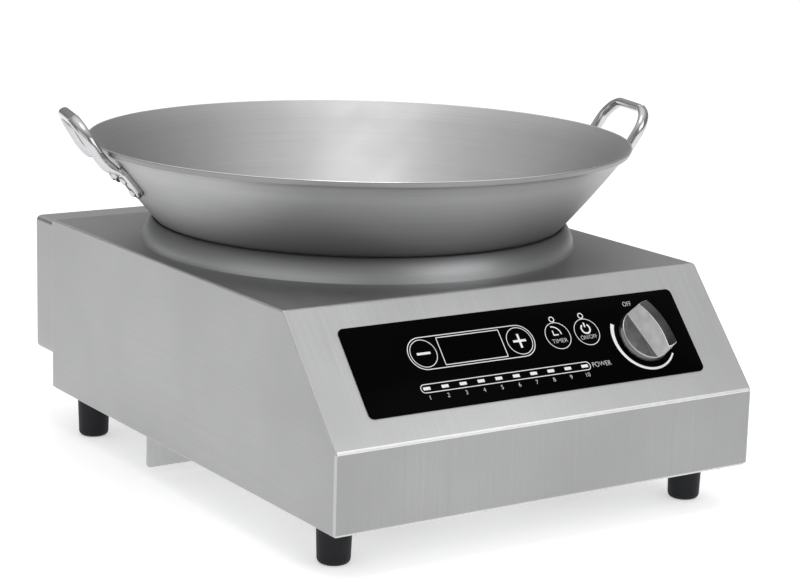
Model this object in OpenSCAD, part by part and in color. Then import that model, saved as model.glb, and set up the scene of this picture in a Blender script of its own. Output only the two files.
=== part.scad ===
// Counter-top induction wok hob with a lift-off pan.
// Millimetres. X to the right, Y to the back, Z up; the control face looks towards -Y.
// The origin is on the worktop, in the middle of the space the object takes up.

/* [Casing] */
// Width of the casing
casing_w = 340; // [330:1:370]
// Depth of the casing, front to back
casing_d = 412; // [408:1:440]
// Height of the casing, without the feet
casing_h = 130; // [128:1:145]
// Height of the upright front
front_h = 53; // [46:1:58]
// Depth of the sloped control face, seen from above
slope_run = 67; // [60:1:70]
// Thickness of the casing sheet
sheet = 1.2; // [1:0.1:1.5]
// Outer radius of the bends
bend_r = 3.5; // [2:0.1:4]
// Width of the return flange under the casing
flange_w = 14; // [13:0.5:16]

/* [Base and feet] */
// Thickness of the base plate
base_t = 1.6; // [1.2:0.1:2]
// Distance of the base plate's edge from the casing's sides
base_inset = 2; // [1.5:0.5:5]
// Height of the casing above the worktop
foot_h = 32; // [25:1:35]
// Diameter of a foot at its top
foot_top_d = 24; // [22:0.5:26]
// Diameter of a foot at its bottom
foot_bottom_d = 22; // [19:0.5:23]
// Distance of the front feet's axes from the casing's sides
foot_side_front = 24; // [20:0.5:28]
// Distance of the rear feet's axes from the casing's sides
foot_side_rear = 18; // [16:0.5:26]
// Distance of the front feet's axes from the casing's front
foot_front = 38; // [34:0.5:40]
// Distance of the rear feet's axes from the casing's back
foot_rear = 35; // [30:0.5:46]
// Distance of the air baffle from the casing's front
baffle_from_front = 257; // [220:1:262]
// Height of the air baffle
baffle_h = 23; // [18:0.5:24]

/* [Rear hood] */
// Width of the hood
hood_w = 337; // [325:1:338]
// Depth of the hood
hood_d = 31; // [24:1:33]
// Height of the hood
hood_h = 104; // [95:1:104]
// Height of the hood's lower edge above the casing's lower edge
hood_up = 24; // [23:0.5:26]

/* [Bowl] */
// Distance of the bowl's axis from the casing's front
bowl_from_front = 247; // [244:1:250]
// Inner radius of the dished bowl
dish_r = 199; // [196:1:204]
// Radius of the bowl's rim
bowl_rim_r = 144; // [141:0.5:146]
// Height of the bowl's rim above the casing's top
rim_up = 10.6; // [10:0.1:12]
// Thickness of the bowl
bowl_t = 4; // [3.5:0.1:4.5]
// Distance of the bowl ring's foot from the bowl's rim
ring_w = 15; // [13:0.5:17]
// Height of the ring's peak before it is rounded
ring_h = 17.8; // [17:0.1:18.5]

/* [Pan] */
// Radius of the pan's rim
pan_rim_r = 198; // [195:0.5:202]
// Thickness of the pan's wall
pan_t = 1.5; // [1.2:0.1:2]
// Height of the pan's rim bead
lip_h = 7.5; // [7:0.1:8.5]
// Gap between the pan and the bowl
pan_gap = 0.4; // [0.3:0.05:0.6]
// Direction of the right handle, seen from above
handle_turn = -15; // [-20:1:20]
// Distance between the legs of a handle
handle_w = 70; // [64:1:76]
// Length of a handle's loop above its bend
handle_rise = 29; // [26.5:0.5:34]
// Lean of a handle from the level
handle_lean = 58; // [52:1:64]

/* [Control face] */
// Width of the control overlay
overlay_w = 274; // [268:1:282]
// Height of the control overlay
overlay_h = 65; // [62:0.5:68]
// Thickness of the control overlay
overlay_t = 1; // [0.8:0.1:1.2]
// Distance of the overlay's middle from the lower crease
overlay_v = 51.7; // [48:0.1:53]
// Diameter of a key
key_d = 18.6; // [17.6:0.1:18.8]
// Travel of a key
key_travel = 0.5; // [0.3:0.05:0.6]
// Width of the display window
window_w = 48; // [44:0.5:50]
// Height of the display window
window_h = 18.8; // [17:0.2:19.4]
// Diameter of the knob
knob_d = 39; // [36:0.5:41]
// Height of the knob above the control face
knob_h = 24.6; // [22:0.2:27]
// Width of the knob's bar
knob_bar_w = 9.8; // [9:0.1:11]
// Height of the crown along the bar's top
knob_crown = 4.5; // [3:0.1:5]
// Turn of the knob's bar at rest, anticlockwise from upright
knob_rest = 16; // [0:1:20]

/* [Hidden] */
$fn = 64;

// Small gap between pieces that touch or are screwed together
fit = 0.05;
// Gap between pieces that move past each other
play = 0.3;
// Overlap that keeps a cut clear of a face
eps = 1;

// Frame: the front of the casing and its lower edge
front_y = -max(casing_d + hood_d, bowl_from_front + pan_rim_r) / 2;
slope_rise = casing_h - front_h;
slope_angle = atan2(slope_rise, slope_run);

// Dished bowl, coil and pan turn about one centre
dish_up = casing_h + rim_up + sqrt(dish_r * dish_r - bowl_rim_r * bowl_rim_r);
bowl_angle = asin(bowl_rim_r / dish_r);
pan_r = dish_r - pan_gap;
knee_angle = bowl_angle + 2.03;
bowl_out_r = dish_r + bowl_t;
ring_r = bowl_rim_r + ring_w;
ring_sheet = 1.2;
ring_lip_r = dish_r + fit;
ring_round = 2;
ring_swell = 2.2;
ring_ease = 0.65;
corner_ease = 0.9;
ring_low_angle = bowl_angle + 0.6;
bowl_hole_r = bowl_rim_r + 2;

// Coil stack under the bowl, from the bowl outwards
pad_r = bowl_out_r + play;
pad_t = 1.6;
coil_r = pad_r + pad_t + fit;
coil_t = 5;
carrier_r = coil_r + coil_t + fit;
carrier_t = 3.5;
ferrite_r = carrier_r + carrier_t + fit;
ferrite_t = 5;
ferrite_w = 14;
ferrite_count = 8;
coil_in_angle = 7.5;
coil_out_angle = 30.5;
hub_angle = 4;
sensor_angle = 3.8;
ear_l = 22;
ear_w = 16;
ear_t = 4;
ear_reach = 10;
post_d = 8;
post_ring = carrier_r * sin(coil_out_angle + 1.5) + ear_reach;
ear_up = dish_up - carrier_r * cos(coil_out_angle + 1.5) - ear_t;
post_screw_d = 4;
post_screw_in = 10;
post_hole = 14;

// Pan profile and handles
wall_bow = 5;
wall_top_angle = knee_angle + wall_bow;
lip_w = 6.8;
flare_w = 5;
flare_h = 3;
lip_round = 3.5;
rim_round = 0.7;
wall_end_r = pan_rim_r - lip_w;
wall_r = (wall_end_r - pan_r * sin(knee_angle)) / (sin(wall_top_angle) - sin(knee_angle));
wall_c = dish(pan_r, knee_angle) - wall_r * [sin(knee_angle), -cos(knee_angle)];
wall_end = wall(0, wall_top_angle);
tab_angle = wall_top_angle - wall_bow * 0.28;
tab_mid = wall(0, tab_angle);
tab_dir = [cos(tab_angle), sin(tab_angle)];
tab_out = [sin(tab_angle), -cos(tab_angle)];
tab_t = 4.4;
tab_d = 13;
tab_low = -6.5;
tab_high = 8.5;
rivet_s = [-6.5, 4.5];
rivet_d = 4;
rivet_head_d = 7;
bar_in_plane = 6.6;
bar_across = 8.4;
bar_sides = 14;
loop_round = 19;
loop_steps = 8;
bar_drop = 5.7;
handle_half_angle = asin(handle_w / 2 / tab_mid[0]);

// Control face: places from the overlay's middle, right and up the slope
key_row = 7.7;
key_u = [-80.7, -4, 28, 52.5];
window_u = -42.4;
window_room = 1;
light_row = -17;
light_first = -88.4;
light_pitch = 14.16;
light_count = 10;
light_w = 5.2;
light_h = 2.2;
mode_row = 20.2;
mode_d = 3;
knob_u = 96.6;
knob_v = -1.7;
overlay_round = 4;
key_lip = 0.8;
key_lip_t = 1.2;
key_stem_d = 5;
key_stem_end = 6;
switch_w = 6;
switch_h = 3.5;
switch_pin_d = 3.4;
board_gap = 12;
board_t = 1.6;
board_w = 168;
board_h = 52;
board_u = -20;
board_hole = 3;
spacer_d = 6;
pot_d = 17;
pot_depth = 9;
shaft_d = 6;
shaft_play = 0.05;
bushing_d = 7;
bushing_l = 6;
nut_w = 10;
nut_room = 4;
pot_lug_w = 12;
pot_lug_l = 6;
pot_lug_t = 1.6;
pot_wall = 1;
nut_t = 2.4;
knob_gap = 0.6;
knob_skirt = 5;
knob_edge = 0.8;
knob_recess_d = 15;
knob_draft = 0.5;
knob_rim = 0.6;
knob_roof = 6;

// Rear wall
bushing_side = 42;
bushing_u = casing_w / 2 - bushing_side;
bushing_up = 12.5;
bushing_hole_d = 16;
cable_d = 8.5;
vent_w = 3.6;
vent_pitch = 12;
vent_count = 23;
vent_h = 62;
hood_sheet = 1;
hood_round = 4;
hood_vent_pitch = 9;
hood_vent_count = 31;
hood_vent_h = 56;
hood_tab_w = 30;
hood_tab_h = 12;
hood_tab_u = [-130, -25, 80];

// Screws
m3 = 3;
m4 = 4;
m5 = 5;
base_screw_side = 20.4;
base_screw_mid = 50;
base_screw_out = casing_w / 2 - base_screw_side;
base_screw_x = [-base_screw_out, -base_screw_mid, base_screw_mid, base_screw_out];
side_screw_front = 148.3;
side_screw_behind = 31.4;
side_screw_y = [side_screw_front, baffle_from_front + side_screw_behind];
baffle_screw_side = 51;
screw_end = 3;
foot_seat = 8;
foot_edge = 3.5;
foot_screw_end = 5;
baffle_flange = 12;
baffle_sheet = 1.2;
baffle_round = 3;
baffle_flange_in = 12;

// Fans and power board
fan_w = 92;
fan_h = 25;
fan_bore_d = 88;
fan_x = 70;
fan_from_front = 106;
fan_hole = 82.5;
rotor_d = 84;
rotor_hub_d = 34;
rotor_wall = 2;
stator_d = 28;
stator_h = 20;
rotor_low = 10;
rotor_top = 23;
blade_count = 7;
blade_pitch = 35;
blade_chord = 16;
blade_t = 1.6;
fan_shaft_d = 3;
strut_w = 4;
strut_h = 3;
intake_w = 3.8;
intake_pitch = 8;
power_w = 190;
power_d = 110;
power_x = -8;
power_from_front = 262;
power_up = 8;
sink_w = 100;
sink_d = 56;
sink_base = 6;
sink_room = 10.8;
fin_t = 2;
fin_gap = 5;
fin_count = floor((sink_w + fin_gap) / (fin_t + fin_gap));
sink_x = -45;
sink_y = -12;
transistor_t = 5;
transistor_w = 16;
transistor_l = 20;
transistor_pitch = 28;
coil_low = dish_up - ferrite_r - ferrite_t;
sink_h = coil_low - power_up - board_t - transistor_t - sink_room;
cap_w = 20;
cap_l = 42;
cap_room = 19.8;
cap_h = coil_low - power_up - board_t - cap_room;
cap_pitch = 24;
cap_x = 28;
cap_y = 24;
choke_in_r = 9;
choke_r = 19;
choke_h = 17;
choke_in_round = 2;
choke_round = 4;
choke_x = 48;
choke_y = -24;
terminal_w = 44;
terminal_d = 18;
terminal_h = 17;
terminal_x = -62;
terminal_y = 38;
terminal_pitch = 13;
terminal_screw_d = 5;
terminal_screw_low = 8;
terminal_wire_d = 6;
terminal_wire_up = 6;
terminal_wire_l = 7;

function unit(v) = v / norm(v);
function polar(c, r, a) = c + r * [cos(a), sin(a)];
// Point of a meridian, at radius r and angle a from straight down about the dish centre
function dish(r, a) = [r * sin(a), dish_up - r * cos(a)];
function dish_arc(r, a0, a1, steps = 16) = [for (i = [0:steps]) dish(r, a0 + (a1 - a0) * i / steps)];
// Point of the pan's upper wall, t in from its outer face, where the wall rises at angle a
function wall(t, a) = wall_c + (wall_r - t) * [sin(a), -cos(a)];
// Points of that wall between two angles, without the ends
function wall_arc(t, a0, a1, steps = 6) = [for (i = [1:steps - 1]) wall(t, a0 + (a1 - a0) * i / steps)];

// Arc that replaces the corner at p between the directions a and b
function corner_arc(p, a, b, r, steps) =
    let (half = acos(a * b) / 2,
         c = p + unit(a + b) * r / sin(half),
         s = p + a * r / tan(half) - c,
         e = p + b * r / tan(half) - c,
         a0 = atan2(s[1], s[0]),
         turn = (atan2(e[1], e[0]) - a0 + 540) % 360 - 180)
    [for (i = [0:steps]) polar(c, r, a0 + turn * i / steps)];

// Outline whose corners are rounded by the radii given; 0 leaves a corner sharp
function rounded(pts, radii, steps = 5) =
    [for (i = [0:len(pts) - 1])
        let (n = len(pts), p = pts[i], a = unit(pts[(i + n - 1) % n] - p), b = unit(pts[(i + 1) % n] - p))
        each (radii[i] > 0 ? corner_arc(p, a, b, radii[i], steps) : [p])];

// Largest radius that a corner between two points has room for
function corner_room(a, p, b) =
    min(norm(a - p), norm(b - p)) * tan(acos(unit(a - p) * unit(b - p)) / 2);

// Anticlockwise outline moved inwards by t
function inset(pts, t) =
    [for (i = [0:len(pts) - 1])
        let (n = len(pts), p = pts[i], d0 = unit(p - pts[(i + n - 1) % n]), d1 = unit(pts[(i + 1) % n] - p),
             n0 = [-d0[1], d0[0]], n1 = [-d1[1], d1[0]])
        p + t * (n0 + n1) / (1 + n0 * n1)];

function box_outline(w, h) = [[-w / 2, -h / 2], [w / 2, -h / 2], [w / 2, h / 2], [-w / 2, h / 2]];
function casing_outline() =
    [[0, 0], [casing_d, 0], [casing_d, casing_h], [slope_run, casing_h], [0, front_h]];

// Frame of the casing: its front's lower edge, in the middle
module casing_frame() {
    translate([0, front_y, foot_h]) children();
}

// Frame of the control face: origin at the overlay's middle, Z out of the face
module face_frame(u = 0, v = 0) {
    casing_frame()
        translate([0, 0, front_h])
            rotate([slope_angle, 0, 0])
                translate([u, overlay_v + v, 0]) children();
}

// Frame of the bowl's axis, at the casing's lower edge
module bowl_frame() {
    casing_frame() translate([0, bowl_from_front, 0]) children();
}

// Solid with the outline pts in the Y-Z plane, w wide along X
module along_x(pts, w) {
    rotate([90, 0, 90]) linear_extrude(w, center = true) polygon(pts);
}

module revolve(pts) {
    rotate_extrude($fn = 128) polygon(pts);
}

// Pan-head screw: the head stands on Z = 0, the shank points down
module screw(d, l) {
    cylinder(h = d * 0.55, d1 = d * 1.9, d2 = d * 1.3);
    translate([0, 0, -l]) cylinder(h = l, d = d);
}

module hole(d, from, to) {
    translate([0, 0, from]) cylinder(h = to - from, d = d);
}

// Places of the screws that hold the base to the return flange
module base_screw_places() {
    for (k = base_screw_x) {
        translate([k, flange_w * 0.6, 0]) children();
        translate([k, casing_d - flange_w * 0.6, 0]) children();
    }
    for (s = [-1, 1], k = side_screw_y)
        translate([s * (casing_w / 2 - flange_w * 0.65), k, 0]) children();
}

module foot_places() {
    for (s = [-1, 1]) {
        translate([s * (casing_w / 2 - foot_side_front), foot_front, 0]) children();
        translate([s * (casing_w / 2 - foot_side_rear), casing_d - foot_rear, 0]) children();
    }
}

module baffle_screw_places() {
    y = baffle_from_front + baffle_sheet + baffle_flange * 0.55;
    for (s = [-1, 0, 1]) translate([s * (casing_w / 2 - baffle_screw_side), y, 0]) children();
}

module hood_screw_places() {
    for (u = hood_tab_u)
        translate([u, casing_d, hood_up - hood_tab_h * 0.5]) rotate([-90, 0, 0]) children();
}

module fan_screw_places() {
    for (side = [-1, 1], i = [-1, 1], j = [-1, 1])
        translate([side * fan_x + i * fan_hole / 2, fan_from_front + j * fan_hole / 2, 0]) children();
}

module power_places() {
    for (i = [-1, 1], j = [-1, 1])
        translate([power_x + i * (power_w / 2 - 6), power_from_front + j * (power_d / 2 - 6), 0]) children();
}

module board_places() {
    for (i = [-1, 1], j = [-1, 1])
        face_frame(board_u + i * (board_w / 2 - 5), j * (board_h / 2 - 5)) children();
}

module post_places() {
    for (a = [45:90:315])
        bowl_frame() rotate(a) translate([post_ring, 0, 0]) children();
}

// Row of upright slots through a wall that faces Y
module slots(count, pitch, w, h, depth) {
    for (i = [0:count - 1])
        translate([(i - (count - 1) / 2) * pitch, 0, 0]) cube([w, depth, h], center = true);
}

module upper_casing() {
    inner_r = bend_r - sheet;
    cavity = rounded(inset(casing_outline(), sheet), [0, 0, inner_r, inner_r, inner_r]);
    color([0.72, 0.73, 0.74])
    difference() {
        casing_frame() along_x(rounded(casing_outline(), [0, 0, bend_r, bend_r, bend_r]), casing_w);
        casing_frame() along_x(cavity, casing_w - 2 * sheet);
        casing_frame() translate([-casing_w / 2 + flange_w, flange_w, -eps])
            cube([casing_w - 2 * flange_w, casing_d - 2 * flange_w, sheet + 2 * eps]);
        bowl_frame() hole(2 * bowl_hole_r, casing_h - sheet - eps, casing_h + eps);
        face_frame(window_u, key_row)
            cube([window_w + window_room, window_h + window_room, 4 * sheet], center = true);
        for (u = key_u) face_frame(u, key_row) hole(key_d + 2 * play, -2 * sheet, eps);
        for (i = [0:light_count - 1]) face_frame(light_first + i * light_pitch, light_row)
            cube([light_w + 2 * play, light_h + 2 * play, 4 * sheet], center = true);
        for (i = [2, 3]) face_frame(key_u[i], mode_row) hole(mode_d + 2 * play, -2 * sheet, eps);
        face_frame(knob_u, knob_v) hole(bushing_d + 2 * fit, -2 * sheet, eps);
        casing_frame() translate([0, casing_d - sheet / 2, hood_up + hood_h / 2])
            slots(vent_count, vent_pitch, vent_w, vent_h, 3 * sheet);
        casing_frame() translate([bushing_u, casing_d, bushing_up]) rotate([90, 0, 0])
            hole(bushing_hole_d, -eps, sheet + eps);
        casing_frame() base_screw_places() hole(m4 + 2 * fit, -eps, sheet + eps);
        casing_frame() hood_screw_places() hole(m3 + 2 * fit, -sheet - eps, eps);
    }
}

module base_plate() {
    color([0.66, 0.67, 0.68])
    difference() {
        casing_frame() translate([-casing_w / 2 + base_inset, sheet, -base_t])
            cube([casing_w - 2 * base_inset, casing_d - 2 * sheet, base_t]);
        casing_frame() base_screw_places() hole(m4 + 4 * fit, -base_t - eps, eps);
        casing_frame() foot_places() hole(m5 + 2 * fit, -base_t - eps, eps);
        casing_frame() baffle_screw_places() hole(m4 + 2 * fit, -base_t - eps, eps);
        casing_frame() fan_screw_places() hole(m4 + 2 * fit, -base_t - eps, eps);
        casing_frame() power_places() hole(m3 + 4 * fit, -base_t - eps, eps);
        for (s = [-1, 1]) casing_frame() translate([s * fan_x, fan_from_front, -base_t / 2])
            intersection() {
                cylinder(h = 3 * base_t, d = fan_bore_d - 6, center = true);
                for (i = [-5:5]) translate([0, i * intake_pitch, 0])
                    cube([fan_bore_d, intake_w, 3 * base_t], center = true);
            }
    }
}

module rear_hood() {
    box = box_outline(hood_w, hood_h);
    outer = rounded(box, [for (i = [0:3]) hood_round]);
    inner = rounded(inset(box, hood_sheet), [for (i = [0:3]) hood_round - hood_sheet]);
    mid = hood_up + hood_h / 2;
    color([0.68, 0.69, 0.7])
    difference() {
        union() {
            casing_frame() translate([0, casing_d + hood_d, mid]) rotate([90, 0, 0])
                linear_extrude(hood_d) polygon(outer);
            for (u = hood_tab_u) casing_frame()
                translate([u - hood_tab_w / 2, casing_d, hood_up - hood_tab_h])
                    cube([hood_tab_w, hood_sheet, hood_tab_h + hood_sheet]);
        }
        casing_frame() translate([0, casing_d + hood_d - hood_sheet, mid]) rotate([90, 0, 0])
            linear_extrude(hood_d) polygon(inner);
        casing_frame() translate([0, casing_d + hood_d, mid])
            slots(hood_vent_count, hood_vent_pitch, vent_w, hood_vent_h, 4 * hood_sheet);
        casing_frame() hood_screw_places() hole(m3 + 4 * fit, -eps, hood_sheet + eps);
    }
}

module air_baffle() {
    w = casing_w - 2 * base_inset;
    flange = w - 2 * baffle_flange_in;
    low = -base_t - baffle_h;
    color([0.66, 0.67, 0.68])
    difference() {
        union() {
            casing_frame() translate([0, baffle_from_front + baffle_sheet, low + baffle_h / 2])
                rotate([90, 0, 0]) linear_extrude(baffle_sheet)
                    polygon(rounded(box_outline(w, baffle_h), [baffle_round, baffle_round, 0, 0]));
            casing_frame() translate([-flange / 2, baffle_from_front, -base_t - baffle_sheet])
                cube([flange, baffle_sheet + baffle_flange, baffle_sheet]);
        }
        casing_frame() baffle_screw_places() hole(m4 + 4 * fit, -base_t - 2 * baffle_sheet, eps);
    }
}

// Tapered rubber foot with a recess for its screw
module foot(x, y) {
    h = foot_h - base_t;
    head_d = m5 * 1.9 + 2;
    color([0.12, 0.12, 0.13])
    translate([x, front_y + y, 0])
        revolve(rounded([[head_d / 2, 0], [foot_bottom_d / 2, 0], [foot_top_d / 2, h], [m5 / 2 + fit, h],
            [m5 / 2 + fit, h - foot_seat], [head_d / 2, h - foot_seat]], [0, foot_edge, 0, 0, 0, 0]));
}

module foot_front_left() {
    foot(foot_side_front - casing_w / 2, foot_front);
}

module foot_front_right() {
    foot(casing_w / 2 - foot_side_front, foot_front);
}

module foot_rear_left() {
    foot(foot_side_rear - casing_w / 2, casing_d - foot_rear);
}

module foot_rear_right() {
    foot(casing_w / 2 - foot_side_rear, casing_d - foot_rear);
}

module foot_screws() {
    color([0.6, 0.6, 0.62])
    casing_frame() foot_places() translate([0, 0, -base_t - foot_seat]) rotate([180, 0, 0])
        screw(m5, foot_seat + base_t + foot_screw_end);
}

module base_screws() {
    color([0.6, 0.6, 0.62])
    casing_frame() base_screw_places() translate([0, 0, -base_t]) rotate([180, 0, 0])
        screw(m4, base_t + sheet + screw_end);
}

module hood_screws() {
    color([0.6, 0.6, 0.62])
    casing_frame() hood_screw_places() translate([0, 0, hood_sheet])
        screw(m3, hood_sheet + sheet + screw_end);
}

module baffle_screws() {
    color([0.6, 0.6, 0.62])
    casing_frame() baffle_screw_places() translate([0, 0, -base_t - baffle_sheet]) rotate([180, 0, 0])
        screw(m4, base_t + baffle_sheet + screw_end);
}

// Snap-in bushing for the mains cable
module cable_bushing() {
    r = bushing_hole_d / 2;
    color([0.1, 0.1, 0.1])
    casing_frame() translate([bushing_u, casing_d, bushing_up]) rotate([-90, 0, 0])
        revolve([[cable_d / 2, -12], [r - 1, -12], [r - fit, -6], [r + 0.6, -sheet - fit - 1],
            [r + 0.6, -sheet - fit], [r - fit, -sheet - fit], [r - fit, 0], [r + 1.6, 0], [r + 1.6, 2.5],
            [r - 1.5, 10], [cable_d / 2, 10]]);
}

// Polished ring: outer leg on the top plate, rounded shoulder, lip down to the bowl
module bowl_ring() {
    lip_top = dish(ring_lip_r, knee_angle);
    lip_in = dish(ring_lip_r + ring_sheet, knee_angle);
    rise = casing_h + ring_h - lip_top[1];
    peak = lip_top + [rise / tan(knee_angle), rise];
    foot = [ring_r, casing_h];
    foot_in = foot - [ring_sheet * 1.1, 0];
    along = unit(peak - foot);
    out = [along[1], -along[0]];
    shoulder = (foot + peak) / 2 + ring_swell * out;
    shoulder_in = shoulder - ring_sheet * out;
    bead = min(ring_round, corner_ease * corner_room(shoulder, peak, lip_top));
    outline = [foot, shoulder, peak, lip_top, dish(ring_lip_r, ring_low_angle),
        dish(ring_lip_r + ring_sheet, ring_low_angle), lip_in, shoulder_in, foot_in];
    bow = ring_ease * corner_room(foot, shoulder, peak);
    bow_in = corner_ease * corner_room(foot_in, shoulder_in, lip_in);
    color([0.62, 0.63, 0.64])
    bowl_frame() revolve(rounded(outline, [0, bow, bead, 0, 0, 0, 0, bow_in, 0], 8));
}

module bowl_seal() {
    color([0.2, 0.2, 0.2])
    bowl_frame() revolve([dish(ring_lip_r, bowl_angle), dish(bowl_out_r, bowl_angle),
        dish(bowl_out_r, knee_angle - 0.8), dish(ring_lip_r + ring_sheet, knee_angle),
        dish(ring_lip_r + ring_sheet, ring_low_angle), dish(ring_lip_r, ring_low_angle)]);
}

// Layer of the dish between two radii and two angles
module dish_layer(r, t, a0, a1) {
    bowl_frame() revolve(concat(dish_arc(r, a0, a1), dish_arc(r + t, a1, a0)));
}

module glass_bowl() {
    color([0.05, 0.05, 0.06]) dish_layer(dish_r, bowl_t, 0, bowl_angle);
}

module insulation_pad() {
    color([0.85, 0.82, 0.7]) dish_layer(pad_r, pad_t, hub_angle + 0.2, coil_out_angle);
}

module coil_winding() {
    color([0.72, 0.42, 0.2]) dish_layer(coil_r, coil_t, coil_in_angle, coil_out_angle);
}

module coil_carrier() {
    color([0.88, 0.88, 0.84])
    difference() {
        union() {
            dish_layer(carrier_r, carrier_t, hub_angle, coil_out_angle + 2.5);
            post_places() translate([-ear_l + ear_w / 2, -ear_w / 2, ear_up]) cube([ear_l, ear_w, ear_t]);
        }
        dish_layer(pad_r, carrier_r - pad_r, 0, coil_out_angle + 8);
        post_places() hole(post_screw_d + 4 * fit, ear_up - eps, ear_up + ear_t + eps);
    }
}

module ferrite_bars() {
    color([0.25, 0.24, 0.25])
    intersection() {
        dish_layer(ferrite_r, ferrite_t, coil_in_angle, coil_out_angle - 1);
        bowl_frame() for (i = [0:ferrite_count - 1]) rotate(i * 360 / ferrite_count)
            translate([0, -ferrite_w / 2, 0]) cube([casing_w / 2, ferrite_w, casing_h]);
    }
}

module carrier_posts() {
    color([0.7, 0.7, 0.72])
    post_places() difference() {
        cylinder(h = ear_up, d = post_d);
        hole(post_screw_d + 2 * fit, ear_up - post_hole, ear_up + eps);
    }
}

module carrier_screws() {
    color([0.6, 0.6, 0.62])
    post_places() translate([0, 0, ear_up + ear_t]) screw(post_screw_d, ear_t + post_screw_in);
}

module temperature_sensor() {
    color([0.8, 0.8, 0.82]) dish_layer(pad_r, carrier_r + carrier_t - pad_r, 0, sensor_angle);
}

module control_overlay() {
    color([0.02, 0.02, 0.02])
    difference() {
        face_frame() linear_extrude(overlay_t)
            polygon(rounded(box_outline(overlay_w, overlay_h), [for (i = [0:3]) overlay_round]));
        face_frame(window_u, key_row)
            cube([window_w + 2 * fit, window_h + 2 * fit, 4 * overlay_t], center = true);
        for (u = key_u) face_frame(u, key_row) hole(key_d + 2 * play, -eps, overlay_t + eps);
        face_frame(knob_u, knob_v) hole(nut_w + nut_room, -eps, overlay_t + eps);
    }
}

module display_window() {
    color([0.06, 0.02, 0.02])
    face_frame(window_u, key_row) translate([-window_w / 2, -window_h / 2, 0])
        cube([window_w, window_h, overlay_t]);
}

// Round key: disc flush with the overlay, lip behind the sheet, stem to the switch
module key(u) {
    color([0.03, 0.03, 0.03])
    face_frame(u, key_row) {
        hole(key_d, -sheet - play - eps / 2, overlay_t);
        hole(key_d + 2 * play + 2 * key_lip, -sheet - play - key_lip_t, -sheet - play);
        hole(key_stem_d, -key_stem_end, -sheet - play - key_lip_t / 2);
    }
}

module minus_key() {
    key(key_u[0]);
}

module plus_key() {
    key(key_u[1]);
}

module timer_key() {
    key(key_u[2]);
}

module power_key() {
    key(key_u[3]);
}

module level_lights() {
    color([0.95, 0.95, 0.95])
    for (i = [0:light_count - 1]) face_frame(light_first + i * light_pitch, light_row)
        translate([-light_w / 2, -light_h / 2, -board_gap]) cube([light_w, light_h, board_gap - play]);
}

module mode_lights() {
    color([0.8, 0.1, 0.1])
    for (i = [2, 3]) face_frame(key_u[i], mode_row) hole(mode_d, -board_gap, -play);
}

module display_module() {
    color([0.15, 0.15, 0.16])
    face_frame(window_u, key_row) translate([-window_w / 2 + play, -window_h / 2 + play, -board_gap])
        cube([window_w - 2 * play, window_h - 2 * play, board_gap - play]);
}

module control_board() {
    color([0.1, 0.35, 0.16])
    difference() {
        face_frame(board_u) translate([-board_w / 2, -board_h / 2, -board_gap - board_t])
            cube([board_w, board_h, board_t]);
        board_places() hole(board_hole + 4 * fit, -board_gap - board_t - eps, -board_gap + eps);
    }
}

module board_spacers() {
    color([0.75, 0.7, 0.5])
    board_places() difference() {
        hole(spacer_d, -board_gap, -sheet);
        hole(board_hole + 2 * fit, -board_gap - eps, -sheet - 2);
    }
}

module board_screws() {
    color([0.6, 0.6, 0.62])
    board_places() translate([0, 0, -board_gap - board_t]) rotate([180, 0, 0]) screw(board_hole, board_t + 6);
}

module push_switches() {
    color([0.2, 0.2, 0.2])
    for (u = key_u) face_frame(u, key_row) {
        translate([-switch_w / 2, -switch_w / 2, -board_gap]) cube([switch_w, switch_w, switch_h]);
        hole(switch_pin_d, -board_gap + switch_h / 2, -key_stem_end - key_travel - play);
    }
}

module potentiometer() {
    color([0.5, 0.5, 0.5])
    face_frame(knob_u, knob_v) difference() {
        union() {
            hole(pot_d, -sheet - pot_depth, -sheet);
            hole(bushing_d, -sheet - eps, bushing_l);
            translate([-pot_lug_w / 2, -pot_d / 2 - pot_lug_l, -sheet - pot_depth + pot_wall])
                cube([pot_lug_w, pot_lug_l + 2 * pot_wall, pot_lug_t]);
        }
        hole(shaft_d + 2 * shaft_play, -sheet - pot_depth + pot_wall, bushing_l + eps);
    }
}

module pot_nut() {
    color([0.75, 0.7, 0.5])
    face_frame(knob_u, knob_v) difference() {
        cylinder(h = nut_t, d = nut_w / cos(30), $fn = 6);
        hole(bushing_d + 2 * fit, -eps, nut_t + eps);
    }
}

module pot_shaft() {
    color([0.8, 0.8, 0.82])
    face_frame(knob_u, knob_v) hole(shaft_d, -sheet - pot_depth + pot_wall + play, knob_h - knob_roof);
}

// Round skirt with a bar grip across it
module control_knob() {
    low = overlay_t + knob_gap;
    skirt_top = low + knob_skirt;
    half = knob_bar_w / 2;
    bar = [[-half, low + knob_skirt / 2], [half, low + knob_skirt / 2], [half - knob_draft, knob_h],
        [-half + knob_draft, knob_h]];
    crown_r = (knob_d * knob_d / 4 + knob_crown * knob_crown) / (2 * knob_crown);
    color([0.75, 0.75, 0.76])
    face_frame(knob_u, knob_v) rotate(knob_rest) difference() {
        union() {
            revolve(rounded([[0, low], [knob_d / 2, low], [knob_d / 2 - knob_rim, skirt_top], [0, skirt_top]],
                [0, 0, knob_edge, 0]));
            intersection() {
                hole(knob_d - 2 * knob_rim, low, knob_h + eps);
                rotate([90, 0, 0]) linear_extrude(knob_d, center = true)
                    polygon(rounded(bar, [0, 0, knob_edge, knob_edge]));
                translate([0, 0, knob_h - crown_r]) rotate([0, 90, 0])
                    cylinder(h = 2 * knob_bar_w, r = crown_r, center = true, $fn = 256);
            }
        }
        hole(knob_recess_d, low - eps, bushing_l + eps);
        hole(shaft_d + 2 * fit, low, knob_h - knob_roof + 2 * play);
    }
}

module power_board() {
    color([0.1, 0.35, 0.16])
    difference() {
        casing_frame() translate([power_x - power_w / 2, power_from_front - power_d / 2, power_up])
            cube([power_w, power_d, board_t]);
        casing_frame() power_places() hole(m3 + 4 * fit, power_up - eps, power_up + board_t + eps);
    }
}

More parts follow.
